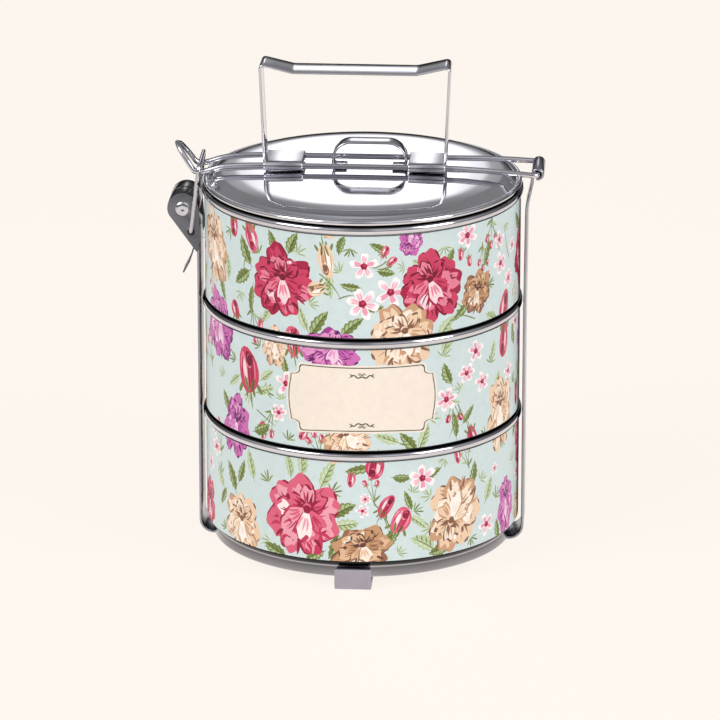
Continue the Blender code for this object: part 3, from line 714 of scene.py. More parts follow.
def leaf(sheet, at, size, turn, seed, paint=LEAF):
    """A serrated leaf with a lighter half and dark side veins, from its stalk to its tip."""
    brush = Brush(sheet, at, size, turn, seed)
    bend = brush.jitter(0.22)
    teeth = 5

    def spine(t):
        return (bend * sin(pi * t), -1.0 + 2.0 * t)

    def side(sign, reach):
        points = []
        for i in range(teeth):
            t = (i + 0.25) / teeth
            for shift, out in ((0.0, 0.80), (0.62, 1.10)):
                s = min(1.0, t + shift / teeth)
                x, y = spine(s)
                half = reach * sin(pi * min(1.0, s) ** 0.8) ** 0.85
                points.append((x + sign * half * out, y))
        return points

    left = side(-1, 0.62)
    right = side(1, 0.62)
    brush.fill([spine(0.0)] + right + [spine(1.0)] + left[::-1], paint["mid"])
    inner = side(-1, 0.40)
    core = [spine(t / 6) for t in range(6, -1, -1)]
    brush.fill([spine(0.0)] + inner + core[:-1], paint["light"])
    for i in range(4):
        t = 0.16 + 0.19 * i
        x, y = spine(t)
        for sign in (-1, 1):
            brush.stroke((x, y), (x + sign * 0.22, y + 0.16), (x + sign * (0.50 - 0.07 * i), y + 0.30), 0.10,
                         paint["dark"] if sign > 0 else paint["mid"], steps=3)
    brush.stroke(spine(-0.12), spine(0.5), spine(0.97), 0.11, paint["dark"], steps=5)


def stem(sheet, start, through, end, width=0.5, paint=LEAF):
    """A thin curved stem."""
    brush = Brush(sheet, (0.0, 0.0), (1.0, 1.0), 0.0, 1)
    brush.stroke(start, through, end, width, paint["mid"], steps=7, blunt=0.5)


def tuft(sheet, at, size, turn, seed, paint=LEAF, blades=5):
    """A fan of narrow leaf strokes."""
    brush = Brush(sheet, at, size, turn, seed)
    for i in range(blades):
        lean = 90 + (i - (blades - 1) / 2) * 34 + brush.jitter(7)
        a = radians(lean)
        long = 0.95 + brush.jitter(0.15)
        tone = paint["mid"] if i % 2 else paint["light"]
        brush.petal((0.0, -0.2), lean, long, 0.13, tone, waves=1, depth=0.03, root=0.3, steps=8)
        brush.stroke((0.15 * cos(a), 0.15 * sin(a) - 0.2), (0.5 * cos(a + 0.1), 0.5 * sin(a + 0.1) - 0.2),
                     (0.85 * cos(a), 0.85 * sin(a) - 0.2), 0.06, paint["dark"], steps=4)


def spray(sheet, at, size, turn, seed, paint):
    """A stalk with three small buds and a leaf."""
    brush = Brush(sheet, at, size, turn, seed)
    for x, y in ((-0.5, 0.5), (0.1, 0.85), (0.55, 0.35)):
        brush.stroke((0.0, -1.0), (x * 0.2, -0.1), (x, y), 0.09, LEAF["mid"], steps=5, blunt=0.4)
        place = brush.place(x, y + 0.12)
        bud = 0.26 * min(size)
        rosebud(sheet, place, (bud, bud * 1.35), turn - 40 * x, paint, seed + int(10 * x), calyx=True)
    leaf(sheet, brush.place(-0.34, -0.36), (0.20 * size[0], 0.34 * size[1]), turn + 58, seed + 3, PALE_LEAF)
    leaf(sheet, brush.place(0.32, -0.50), (0.18 * size[0], 0.32 * size[1]), turn - 55, seed + 4, LEAF)


PER_DEGREE = 70.0 * pi / 180

ROSES = (
    (-64, 146, 11, 17, 15, "cream"), (-27, 139, 15, 16, 0, "crimson"), (29, 138, 14.5, 16, 12, "crimson"),
    (-61, 110, 12, 16, 10, "purple"), (-8, 110, 13, 11, -8, "purple"), (18, 116, 15, 15, 20, "cream"),
    (-30, 109, 6.5, 9, 0, "cream"), (-49, 67, 9, 15, -12, "purple"), (64, 71, 11, 17, 0, "cream"),
    (-46, 22, 12, 15, 5, "cream"), (-19, 33, 17, 19.5, -6, "pink"), (3, 19, 14, 10.5, 25, "tan"),
    (39, 32, 13.5, 17.5, 160, "cream"), (69, 26, 7.5, 14, 0, "purple"), (-73, 23, 8, 12, 0, "crimson"),
    (21, 159, 5.5, 6.5, 160, "purple"), (-2, 70, 12, 10, 40, "cream"), (49, 131, 8.5, 10.5, -12, "tan"),
    (-8, 168, 7, 7, 180, "cream"), (-40, 167, 5, 7, 180, "pink"),
)
EDGE_ROSES = (
    (88, 138, 14, 15, 0, "crimson"), (92, 96, 13, 14, 30, "purple"), (90, 52, 14, 16, -20, "pink"),
    (-93, 118, 14, 15, 10, "pink"), (-90, 72, 13, 15, 0, "tan"), (-95, 34, 12, 13, 0, "purple"),
    (84, 20, 9, 9, 0, "cream"), (-88, 155, 9, 8, 0, "purple"),
)
BUDS = (
    (-49.5, 159, 3.2, 5, 185, "crimson"), (-40, 156, 4.2, 6.5, 200, "pink"), (-9.5, 151, 4.2, 8, 190, "cream"),
    (-13, 138, 4, 4.5, 110, "cream"), (66, 118, 5, 9, -10, "crimson"), (-49, 121, 3.2, 4.6, 20, "crimson"),
    (-22, 113, 4.4, 7.5, 5, "pink"), (-42, 95, 7.2, 11, 8, "crimson"),
    (47, 65, 3.4, 5.5, 200, "crimson"), (66, 104, 4.6, 9, 175, "crimson"), (8, 57, 5, 5.5, 170, "crimson"),
    (-0.5, 51.5, 2.2, 3.8, 175, "pink"), (12, 39, 3.4, 6, -30, "crimson"), (17.5, 32, 5.2, 6.6, -25, "pink"),
    (11.5, 155.5, 2, 3, -25, "pink"), (14, 151, 2, 2.8, -50, "pink"), (41, 150, 1.8, 3, 180, "pink"),
    (45, 146, 1.6, 2.8, 190, "pink"), (-36, 117, 1.8, 3.6, 175, "pink"), (40, 58, 2, 4, 190, "pink"),
    (-18, 71, 2.2, 3.6, 150, "pink"), (-12, 75, 2.2, 3.2, 130, "pink"), (86, 118, 4, 7, 0, "crimson"),
    (-80, 95, 4, 7, 20, "cream"), (80, 74, 3, 6, 180, "crimson"),
)
BLOSSOMS = (
    (4, 149, 6, 0), (3.5, 132, 7, 20), (13.5, 137, 6.8, 50), (44, 158, 5.6, 10), (62, 151, 4, 0), (73, 145, 3.6, 30),
    (63, 140, 5, 15), (69.5, 131, 4.2, 50), (-25, 93, 5.4, 0), (-28, 79, 4, 35), (48.5, 104, 5, 0), (44, 95, 4.6, 30),
    (52, 89, 4.6, 10), (35, 85, 5.4, 45), (70, 88, 4.2, 0), (25.5, 50.5, 6.2, 0), (55, 21.5, 5.2, 20),
    (-64, 52, 4.4, 0), (-71, 42, 4, 30), (4.5, 42.5, 2.6, 0), (3.5, 37, 3, 20), (-66, 61, 4.2, 10),
    (78, 108, 4.6, 0), (-80, 140, 5, 20), (-78, 16, 4.4, 40), (82, 36, 4.4, 10), (60, 46, 2.6, 0),
)
LEAVES = (
    (-43, 150, 4.4, 7, 25, 0), (-45, 137, 4.8, 6, 130, 0), (-22, 157.5, 4, 5.5, -25, 0), (-31, 157, 3.2, 5, 15, 0),
    (-54, 140, 3.6, 6, 10, 1), (-40, 128, 2.6, 6.5, 175, 0), (-8, 140, 3.2, 6.5, 185, 1), (-12, 122.5, 4.4, 7, -35, 0),
    (0, 121.5, 4, 6.5, -50, 0), (35, 118.5, 4.6, 6, -40, 1), (54, 148, 2.8, 6, -15, 0), (-57, 128, 3, 6, 200, 0),
    (-33, 123, 3, 5, 150, 1), (-18, 124, 3, 6, 20, 1), (24, 149, 3, 4, 60, 1), (36, 150, 3, 4.5, -30, 0),
    (57, 117, 4, 5, 60, 1), (41, 124, 3, 6, 130, 0), (9, 157, 3, 4.5, 60, 0), (-4, 158, 3, 4.5, 165, 0),
    (12, 146, 3.2, 4, -100, 0), (-1, 140, 3, 4.5, 80, 0), (8, 130, 3, 4, -80, 0),
    (35.5, 97, 4, 5.5, 20, 0), (35, 113, 4.8, 6.5, -15, 1), (-35.5, 70, 4.4, 5, -60, 0), (-55.5, 77, 3.6, 5, 30, 0),
    (-25, 101, 2.6, 4.5, 10, 0), (38.5, 73, 2.8, 6.5, 10, 0), (61, 86, 3.2, 5.5, -20, 1), (-34, 88, 3.4, 5.5, -65, 1),
    (-33, 95, 3, 4.5, -50, 1), (-50, 88, 3, 5, 130, 1), (45, 76, 2.6, 5, -40, 0), (20, 68, 4, 6, 40, 0), (26, 70, 4, 6, -20, 1),
    (12, 70, 3.4, 6, 70, 1), (-6, 68, 3, 5.5, 25, 0), (58, 101, 3, 4.5, 160, 1), (75, 104, 3.4, 6, 10, 0),
    (-52, 43, 4.2, 7, 25, 0), (-41, 52, 3.8, 7, 15, 1), (-46, 47, 3.2, 6, -20, 0), (-19, 58, 4, 6, 5, 1),
    (-9, 54, 4.4, 7.5, -25, 1), (-24, 56, 3.2, 6, 12, 1), (-3, 37, 4.8, 6, -60, 0), (-2, 30.5, 4.8, 5.5, -80, 1),
    (-30, 15, 5, 6, 70, 0), (-7, 20, 4.4, 6.5, 160, 0), (47.5, 48, 3.6, 5.5, -10, 0), (56, 38, 3.8, 6, -20, 1),
    (25.5, 20, 5.4, 6.5, 60, 1), (18, 52, 3.2, 4.4, -90, 0), (30, 52, 3, 4.4, -60, 0), (20, 41, 2.6, 5, 20, 0),
    (14, 24, 4, 4.4, 170, 0), (32, 15.5, 4.4, 5, 100, 0), (-14, 15, 4, 5, 120, 0), (62, 17, 3.4, 5, 10, 0),
    (-60, 40, 3.4, 5.5, 30, 1), (-58, 31, 3, 5, 150, 0), (24, 30, 3, 5.5, -130, 1), (2, 56, 3.4, 6, 100, 0),
    (80, 154, 4, 6, 40, 0), (99, 116, 4, 6, -30, 0), (82, 84, 4, 6, 20, 1), (-80, 104, 4, 6, 10, 0),
    (-82, 52, 4, 6, -30, 1), (78, 60, 3.6, 6, 150, 0), (-78, 128, 3.8, 6, 150, 1), (-84, 20, 4, 6, 60, 0),
)
STEMS = (
    ((-41, 150), (-45, 145), (-44, 136)), ((-40, 133), (-41, 127), (-39, 121)), ((12, 151), (8, 147), (6, 149)),
    ((14, 149), (11, 147), (7, 148)), ((-12, 145), (-6, 140), (-4, 133)), ((-5, 134), (-2, 136), (1, 136)),
    ((40, 82), (42, 76), (46, 68)), ((41, 79), (38, 72), (36, 66)), ((2, 65), (6, 60), (8, 60)),
    ((11, 36), (13, 30), (15, 24)), ((8, 40), (12, 34), (13, 26)), ((48, 119), (43, 122), (38, 124)),
    ((-38, 78), (-32, 74), (-29, 72)), ((55, 141), (52, 145), (50, 139)), ((62, 146), (60, 156), (56, 160)),
    ((70, 140), (67, 146), (66, 156)), ((44, 153), (42, 151), (41, 149)), ((45, 61), (47, 68), (44, 74)),
)
TUFTS = (
    (-20, 154, 5, 6, -30, 1), (-37, 151, 5, 6, 40, 0), (-46, 129, 4, 6, 170, 1), (-15, 131, 4.5, 6, -70, 1),
    (-5, 147, 4, 7, 30, 1), (-1, 156, 4.5, 5, 170, 0), (18, 148, 4, 4, 90, 1), (43, 125, 5, 6, 60, 0), (37, 142, 4, 5, -60, 0),
    (34, 154, 5, 5, 190, 1), (56, 133, 4, 6, -80, 0), (67, 156, 4, 5, 180, 1), (-52, 156, 4, 5, 150, 0), (-58, 131, 4, 6, 60, 1),
    (-37, 108, 4, 5, 60, 0), (-50, 98, 4, 6, 70, 0), (-33, 88, 4.5, 5, -70, 0), (-42, 83, 4, 6, 180, 1), (-27, 86, 3.6, 5, 10, 1),
    (-58, 88, 4, 6, 30, 1), (34, 106, 5, 6, -30, 1), (41, 89, 4, 5, 60, 1), (57, 97, 4, 5, -20, 0), (29, 78, 5, 6, -60, 1),
    (20, 67, 5, 5, 0, 0), (-10, 69, 4.5, 5, 30, 1), (-24, 68, 4, 5, -20, 0), (53, 64, 4, 5, 80, 0), (75, 82, 4, 6, -60, 0),
    (-60, 42, 4, 6, 20, 0), (-33, 47, 4.5, 6, 30, 0), (-7, 46, 4.5, 6, -50, 0), (-33, 18, 4.5, 6, 110, 1), (22, 45, 4, 5, -20, 1),
    (28, 42, 4.5, 6, 60, 1), (23, 36, 4, 5, -70, 0), (52, 44, 4.5, 6, -60, 1), (28, 27, 4.5, 6, 70, 1), (61, 33, 4, 6, -30, 0),
    (-10, 28, 4, 6, -100, 1), (47, 17, 4.5, 5, -150, 0), (17, 17, 4, 5, -60, 1), (-57, 17, 4, 5, 60, 0), (75, 45, 4, 6, 0, 1),
    (66, 57, 4, 5, 180, 0), (34, 57, 4, 5, 150, 1),
)
SPRAYS = (
    (-39, 118, 6, 8, 190, "pink"), (57, 157, 6, 7, 180, "pink"), (52, 147, 5, 6, 185, "pink"), (-32, 74, 6, 8, 160, "pink"),
    (38, 80, 6, 8, 190, "crimson"), (-13, 66, 6, 6, 20, "pink"), (-61, 57, 6, 8, 10, "pink"), (44, 56, 5, 6, 20, "cream"),
    (7, 46, 5, 7, 10, "pink"), (-70, 95, 6, 8, 20, "crimson"), (76, 118, 5, 8, 0, "cream"), (-67, 130, 5, 7, 180, "pink"),
)
PAINTS = dict(crimson=CRIMSON, pink=PINK, purple=PURPLE, cream=CREAM, tan=TAN)


def spot(around, height, base=0.0):
    return ((around + base) * PER_DEGREE, height)


def posy(sheet, base, seed, extras):
    """Half of the print, centred on an angle round the bowls."""
    for i, (a, z, w, h, turn, kind) in enumerate(TUFTS):
        tuft(sheet, spot(a, z, base), (w, h), turn, seed + i, PALE_LEAF if kind else LEAF)
    for i, (a, z, w, h, turn, paint) in enumerate(SPRAYS):
        spray(sheet, spot(a, z, base), (w, h), turn, seed + i, PAINTS[paint])
    for i, (a, z, w, h, turn, kind) in enumerate(LEAVES):
        leaf(sheet, spot(a, z, base), (w, h), turn, seed + i, PALE_LEAF if kind else LEAF)
    for start, through, end in STEMS:
        stem(sheet, spot(*start, base), spot(*through, base), spot(*end, base), 0.7)
    for i, (a, z, size, turn) in enumerate(BLOSSOMS):
        blossom(sheet, spot(a, z, base), (size, size), turn, seed + i, 5 + i % 2)
    for i, (a, z, w, h, turn, paint) in enumerate(ROSES + extras):
        rose(sheet, spot(a, z, base), (w, h), turn, PAINTS[paint], seed + i)
    for i, (a, z, w, h, turn, paint) in enumerate(BUDS):
        rosebud(sheet, spot(a, z, base), (w, h), turn, PAINTS[paint], seed + i)


LABEL_PLACE = (3.3, 87.8)


def label_outline(inset):
    """A plate shape: flat top and bottom, stepped corners and gently bowed sides."""
    half_width = 32.6 - inset
    half_height = 16.0 - inset
    shoulder = 28.9 - inset
    step = 10.6 - inset * 0.4
    quarter = [(shoulder - 1.6 + 1.6 * sin(radians(a)), half_height - 1.6 + 1.6 * cos(radians(a))) for a in (0, 30, 60, 90)]
    quarter += [
        (shoulder + (half_width - shoulder) * (1 - cos(radians(a))), step + 1.9 * (1 - sin(radians(a))) + 0.25)
        for a in (0, 30, 60, 90)
    ]
    quarter.append((half_width + 0.35, step + 0.1))
    side = [(half_width + 1.5 * (1 - (z / step) ** 2), z) for z in [step * (1 - k / 5) for k in range(1, 6)]]
    right_up = quarter + side
    right_down = [(x, -y) for x, y in right_up[-2::-1]]
    bottom = [(shoulder * (1 - k / 3), 1.1 * (1 - (1 - k / 3) ** 2) - half_height) for k in range(1, 4)]
    right = right_up + right_down + bottom
    return right + [(-x, y) for x, y in right[-2::-1]]


def scroll(sheet, at, flip):
    """A small symmetrical flourish of curls."""
    brush = Brush(sheet, at, (1.0, flip), 0.0, 1)
    for side in (-1, 1):
        brush.crescent((side * 1.0, 0.3), 0.75, 90 - side * 100, 90 + side * 200, 0.44, LABEL_INK, 12)
        brush.blob((side * 1.0, 0.35), 0.25, 0.25, LABEL_INK, 3, 0.0, steps=8)
        brush.stroke((side * 0.2, -0.5), (side * 1.9, -1.5), (side * 3.2, -0.1), 0.58, LABEL_INK)
        brush.stroke((side * 2.0, -0.9), (side * 3.4, 0.9), (side * 4.4, 0.1), 0.46, LABEL_INK)
        brush.stroke((side * 4.0, 0.2), (side * 4.8, -0.5), (side * 5.6, -0.9), 0.52, LABEL_INK)
        brush.stroke((side * 4.0, 0.0), (side * 4.8, 0.5), (side * 5.5, 0.8), 0.52, LABEL_INK)
        brush.blob((side * 4.0, 0.05), 0.42, 0.34, LABEL_INK, 3, 0.0, steps=8)
    brush.blob((0.0, -0.55), 0.28, 0.28, LABEL_INK, 3, 0.0, steps=8)


def label(sheet):
    """Cream name plate with a thin inked border and a flourish at its top and bottom; no lettering."""
    centre = spot(*LABEL_PLACE)
    for inset, colour in ((0.0, LABEL_CREAM), (0.80, LABEL_INK), (1.26, LABEL_CREAM)):
        sheet.fill([(centre[0] + x, centre[1] + y) for x, y in label_outline(inset)], colour)
    scroll(sheet, (centre[0], centre[1] + 11.4), 1.0)
    scroll(sheet, (centre[0], centre[1] - 11.4), -1.0)


def painted_print():
    sheet = Print()
    posy(sheet, 180.0, 500, ())
    posy(sheet, 0.0, 100, EDGE_ROSES)
    label(sheet)
    return sheet


# ---------------------------------------------------------------- bowls
def bowl_profile():
    """Bowl section from the middle of its floor, over the rolled rim, to the middle of its base."""
    inner = WALL_RADIUS - SHEET + 0.1 * MM
    neck = BOWL_HEIGHT - 3.8 * MM
    inside = rounded(
        [(0.0, 1.5 * MM), (60.0 * MM, 1.5 * MM), (65.0 * MM, 1.0 * MM), (66.1 * MM, 1.9 * MM),
         (66.1 * MM, 5.2 * MM), (inner, 8.8 * MM), (inner, 20.0 * MM)],
        [8.0 * MM, 0.7 * MM, 0.8 * MM, 1.8 * MM, 1.8 * MM], 5,
    )
    bead = oval((BOWL_RADIUS, BOWL_HEIGHT - BEAD_HALF_HEIGHT), BEAD_HALF_WIDTH, BEAD_HALF_HEIGHT, 180, -105, 22)
    outside = rounded(
        [(WALL_RADIUS, neck), (WALL_RADIUS, 7.5 * MM), (RING_RADIUS, 5.2 * MM), (RING_RADIUS, 0.1 * MM),
         (65.4 * MM, -0.15 * MM), (63.4 * MM, 0.6 * MM), (0.0, 0.6 * MM)],
        [1.0 * MM, 1.0 * MM, 0.7 * MM, 1.2 * MM, 1.5 * MM], 5,
    )
    floor = 0.02 * MM
    return inside + bead + [(r, max(z, floor)) for r, z in outside]


for tier in TIERS:
    bowl = turned_mesh(f"{tier}_bowl_steel", bowl_profile(), Vector((0.0, 0.0, SEATS[tier])), steps=FINE_STEPS)
    add_piece(f"{tier}_bowl_steel", bowl, BOWL_STEEL, f"{tier}_tier", [f"{tier}_bowl"])


# ---------------------------------------------------------------- printed films
def linear(colour):
    """Linear colour with alpha from red, green and blue in 0 to 255."""
    return (*(((c / 255 + 0.055) / 1.055) ** 2.4 for c in colour), 1.0)


def signed_area(outline):
    return sum(a[0] * b[1] - b[0] * a[1] for a, b in zip(outline, outline[1:] + outline[:1])) / 2


def cut_print(sheet, low, high):
    """Triangles of the unrolled film between two heights, each with the colour painted last over it."""
    length = 2 * pi * BOWL_RADIUS / MM
    half = length / 2
    points = [(-half, low), (half, low), (half, high), (-half, high)]
    faces = [[0, 1, 2, 3]]
    areas = [length * (high - low)]
    colours = [GROUND]
    for outline, colour in sheet.shapes:
        heights = [v for _, v in outline]
        area = signed_area(outline)
        if max(heights) <= low or min(heights) >= high or abs(area) < 1e-4:
            continue
        for shift in (-length, 0.0, length):
            shifted = [(u + shift, v) for u, v in outline]
            if max(shifted)[0] <= -half or min(shifted)[0] >= half:
                continue
            ring = list(range(len(points), len(points) + len(shifted)))
            faces.append(ring if area > 0 else ring[::-1])
            points += shifted
            areas.append(abs(area))
            colours.append(colour)
    flat, _, cells, _, _, owners = delaunay_2d_cdt([Vector(p) for p in points], [], faces, 1, 1e-4)
    covered = [0.0] * len(faces)
    sizes = [abs(signed_area([flat[i] for i in cell])) for cell in cells]
    for size, owner in zip(sizes, owners):
        for face in owner:
            covered[face] += size
    sound = [cover < 1.6 * area + 0.01 for cover, area in zip(covered, areas)]
    kept = [(cell, owner) for cell, owner in zip(cells, owners) if 0 in owner]
    triangles = [(cell, colours[max(face for face in owner if sound[face])]) for cell, owner in kept]
    return flat, triangles


def colour_edges(flat, triangles, slack=0.012):
    """Edges between differently painted triangles, with nearly straight runs made straight."""
    sides = {}
    for cell, colour in triangles:
        for a, b in zip(cell, cell[1:] + cell[:1]):
            sides.setdefault((min(a, b), max(a, b)), []).append(colour)
    near = {}
    for (a, b), paints in sides.items():
        if len(paints) == 1 or paints[0] != paints[1]:
            near.setdefault(a, set()).add(b)
            near.setdefault(b, set()).add(a)
    for point in list(near):
        if len(near[point]) != 2:
            continue
        a, b = near[point]
        span = flat[b] - flat[a]
        away = flat[point] - flat[a]
        if b in near[a] or span.length < 1e-6 or abs(span.x * away.y - span.y * away.x) / span.length > slack:
            continue
        near[a].remove(point)
        near[b].remove(point)
        near[a].add(b)
        near[b].add(a)
        del near[point]
    return [(a, b) for a, others in near.items() for b in others if a < b]


def tidy_print(sheet, low, high):
    """The same print in far fewer triangles: only the edges that show, and upright lines to bend along."""
    flat, triangles = cut_print(sheet, low, high)
    edges = colour_edges(flat, triangles)
    number = {point: i for i, point in enumerate(dict.fromkeys(i for edge in edges for i in edge))}
    points = [flat[i] for i in number]
    lines = [(number[a], number[b]) for a, b in edges]
    length = 2 * pi * BOWL_RADIUS / MM
    for i in range(1, TURN_STEPS):
        u = length * (i / TURN_STEPS - 0.5)
        lines.append((len(points), len(points) + 1))
        points += [Vector((u, low)), Vector((u, high))]
    fewer, _, cells, _, _, _ = delaunay_2d_cdt(points, lines, [], 0, 1e-4)
    chart = BVHTree.FromPolygons([(u, v, 0.0) for u, v in flat], [cell for cell, _ in triangles])
    painted = []
    for cell in cells:
        middle = sum((fewer[i] for i in cell), Vector((0.0, 0.0))) / 3
        found = chart.ray_cast(Vector((middle.x, middle.y, 1.0)), Vector((0.0, 0.0, -1.0)))[2]
        painted.append((cell, triangles[found][1] if found is not None else GROUND))
    return fewer, painted


def film_mesh(name, sheet, low, high):
    """A printed film: the painted outer face, closed by thin edges and an inner wall."""
    flat, triangles = tidy_print(sheet, low / MM, high / MM)
    body = bmesh.new()
    paint = body.loops.layers.float_color.new("print_colour")
    used = {}

    def wrapped(index):
        if index not in used:
            u, v = flat[index]
            a = u * MM / BOWL_RADIUS
            used[index] = body.verts.new((BOWL_RADIUS * sin(a), -BOWL_RADIUS * cos(a), v * MM))
        return used[index]

    for cell, colour in triangles:
        face = body.faces.new([wrapped(i) for i in cell])
        for loop in face.loops:
            loop[paint] = linear(colour)
    bmesh.ops.remove_doubles(body, verts=body.verts, dist=0.0004 * MM)
    shrink = (BOWL_RADIUS - FILM) / BOWL_RADIUS
    rings = []
    for level in (low, high):
        rim = [v for v in body.verts if abs(v.co.z - level) < 1e-8]
        rim.sort(key=lambda v: atan2(v.co.x, -v.co.y))
        inner = [body.verts.new((v.co.x * shrink, v.co.y * shrink, level)) for v in rim]
        rings.append(inner)
        for i in range(len(rim)):
            j = (i + 1) % len(rim)
            quad = [rim[i], inner[i], inner[j], rim[j]]
            body.faces.new(quad if level == low else quad[::-1])
    bottom, top = rings
    i = 0
    j = 0

    def angle_at(ring, k):
        place = ring[k % len(ring)].co
        return atan2(place.x, -place.y) + 2 * pi * (k // len(ring))

    while i < len(bottom) or j < len(top):
        if j >= len(top) or (i < len(bottom) and angle_at(bottom, i + 1) <= angle_at(top, j + 1)):
            body.faces.new([bottom[(i + 1) % len(bottom)], bottom[i % len(bottom)], top[j % len(top)]])
            i += 1
        else:
            body.faces.new([bottom[i % len(bottom)], top[j % len(top)], top[(j + 1) % len(top)]])
            j += 1
    for face in body.faces:
        if min(hypot(*v.co.xy) for v in face.verts) < BOWL_RADIUS - 0.05 * MM:
            for loop in face.loops:
                loop[paint] = linear(GROUND)
    for face in body.faces:
        face.smooth = True
    for edge in body.edges:
        levels = [v.co.z for v in edge.verts]
        if max(levels) < low + 1e-7 or min(levels) > high - 1e-7:
            edge.smooth = False
    mesh = bpy.data.meshes.new(name)
    body.to_mesh(mesh)
    body.free()
    normals = []
    for face in mesh.polygons:
        places = [mesh.vertices[index].co for index in face.vertices]
        outward = min(hypot(*place.xy) for place in places) > BOWL_RADIUS - 0.05 * MM
        for place in places:
            normals.append(Vector((*place.xy, 0.0)).normalized() if outward else face.normal.copy())
    mesh.normals_split_custom_set(normals)
    return mesh


PAINTED = painted_print()
for tier in TIERS:
    film = film_mesh(f"{tier}_film_print", PAINTED, SEATS[tier] + FILM_LOW, SEATS[tier] + FILM_HIGH)
    add_piece(f"{tier}_film_print", film, PRINT, f"{tier}_tier", [f"{tier}_print_film"])


# ---------------------------------------------------------------- lid and its loop
def lid_profile():
    """Lid section from the crown, over the bead and the inner skirt, to the underside."""
    crown = rounded(
        [(0.0, 6.8), (28.0, 6.65), (46.0, 6.3), (57.0, 5.8), (63.0, 5.1), (65.6, 4.2), (67.2, 2.9)],
        [300.0, 200.0, 90.0, 14.0, 5.0], 5,
    )
    bead = oval((69.2, 1.65), 1.3, 1.35, 150, -90, 20)
    skirt = [(68.2, 0.15), (68.2, -4.5), (68.0, -4.9), (67.8, -5.0), (67.5, -4.9), (67.3, -4.6), (67.3, 0.6)]
    underside = [(66.2, 2.5), (64.9, 3.5), (62.6, 4.3), (56.8, 5.0), (46.0, 5.5), (28.0, 5.85), (0.0, 6.0)]
    return [(r * MM, z * MM) for r, z in crown + bead + skirt + underside]


def lid_loop():
    """Strap loop standing on the lid, its feet turned in."""
    low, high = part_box("lid_loop")
    sheet = 1.0 * MM
    left = low.x + sheet / 2
    right = high.x - sheet / 2
    foot_z = low.z + sheet / 2
    top = high.z - sheet / 2
    foot = 6.0 * MM
    path = rounded(
        [(left + foot, foot_z), (left, foot_z), (left, top), (right, top), (right, foot_z), (right - foot, foot_z)],
        [1.4 * MM, 8.0 * MM, 8.0 * MM, 1.4 * MM], 12,
    )
    return sweep("lid_loop_strap", in_plane(path), flat_section(high.y - low.y, sheet), Vector((0, 1, 0)), chamfer=0.3)


LID = turned_mesh("lid_steel", lid_profile(), Vector((0.0, 0.0, RIM_PLANE)), steps=FINE_STEPS)
add_piece("lid_steel", LID, LID_STEEL, "lid", ["lid"])
add_piece("lid_loop_strap", lid_loop(), BRIGHT, "lid", ["lid_loop"])


# ---------------------------------------------------------------- top frame
def smooth_path(knots, samples):
    """Points on a smooth curve through the knots."""
    points = []
    last = len(knots) - 1
    for i in range(last):
        p0 = Vector(knots[max(0, i - 1)])
        p1 = Vector(knots[i])
        p2 = Vector(knots[i + 1])
        p3 = Vector(knots[min(last, i + 2)])
        for j in range(samples):
            t = j / samples
            points.append(
                0.5 * ((2 * p1) + (p2 - p0) * t + (2 * p0 - 5 * p1 + 4 * p2 - p3) * t * t
                       + (3 * p1 - p0 - 3 * p2 + p3) * t ** 3)
            )
    points.append(Vector(knots[-1]))
    return points


def frame_wire():
    """Hinge pin, two near-parallel runs over the lid, a valley for the bail and a finger loop."""
    pin_half = 9.6 * MM
    corner = 1.9 * MM
    runs = [
        (60.0, -10.2, 8.6), (44.0, -8.6, 9.1), (37.0, -8.25, 9.2), (19.0, -8.25, 9.2), (-25.0, -8.25, 9.2),
        (-44.0, -8.25, 9.2), (-60.0, -7.7, 8.2), (-68.5, -7.5, 5.9), (-71.4, -7.4, 5.3), (-74.2, -7.0, 5.9),
        (-77.6, -5.9, 10.5), (-80.6, -3.6, 14.7), (-81.9, 0.0, 16.4),
    ]
    knots = [Vector((HINGE.x - corner, -pin_half - corner, HINGE.z))]
    knots += [Vector((x * MM, y * MM, RIM_PLANE + z * MM)) for x, y, z in runs]
    half = smooth_path(knots, 9)
    bend = [
        Vector((HINGE.x - corner + corner * sin(a), -pin_half - corner * cos(a), HINGE.z))
        for a in (radians(angle) for angle in range(90, 0, -15))
    ]
    front = bend + half
    rear = [Vector((p.x, -p.y, p.z)) for p in front[-2::-1]]
    return sweep("frame_wire_round", front + rear, round_section(WIRE_RADIUS, 16), closed=True)


def carry_handle():
    """One strap: grip, two legs, and feet turned in between the wires."""
    level = RIM_PLANE + WIRE_LIFT
    sheet = 1.1 * MM
    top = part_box("carry_handle")[1].z - sheet / 2
    dip = top - 3.4 * MM
    path = rounded(
        [(-26.0 * MM, level), (-43.0 * MM, level), (-44.9 * MM, top), (-30.5 * MM, dip),
         (24.0 * MM, dip), (38.5 * MM, top), (36.6 * MM, level), (20.6 * MM, level)],
        [1.2 * MM, 1.6 * MM, 8.0 * MM, 8.0 * MM, 1.6 * MM, 1.2 * MM], 10,
    )
    points = in_plane(spaced(path, 4 * MM))
    strap = sweep("strap", points, flat_section(15.5 * MM, sheet), Vector((0, 1, 0)), chamfer=0.3)
    narrow = 2 * (WIRE_HALF_GAP - WIRE_RADIUS - 0.4 * MM)
    for vertex in strap.vertices:
        if vertex.co.z < level + 2.2 * MM:
            vertex.co.y *= min(1.0, narrow / (15.5 * MM))
    return strap


def foot_clamp(name, low, high):
    """The handle's foot: a plate over the wires, its edges rolled round both of them."""
    level = RIM_PLANE + WIRE_LIFT
    sheet = 0.9 * MM
    radius = WIRE_RADIUS + 0.02 * MM + sheet / 2
    top = level + radius
    half = [(0.0, top), (WIRE_HALF_GAP - 4.0 * MM, top)] + arc((WIRE_HALF_GAP, level), radius, 90, -130, 24)
    path = [(-y, z) for y, z in half[:0:-1]] + half
    centre = (low + high) / 2
    points = [Vector((centre, y, z)) for y, z in path]
    return sweep(name, points, flat_section(high - low, sheet), Vector((1, 0, 0)), chamfer=0.3)


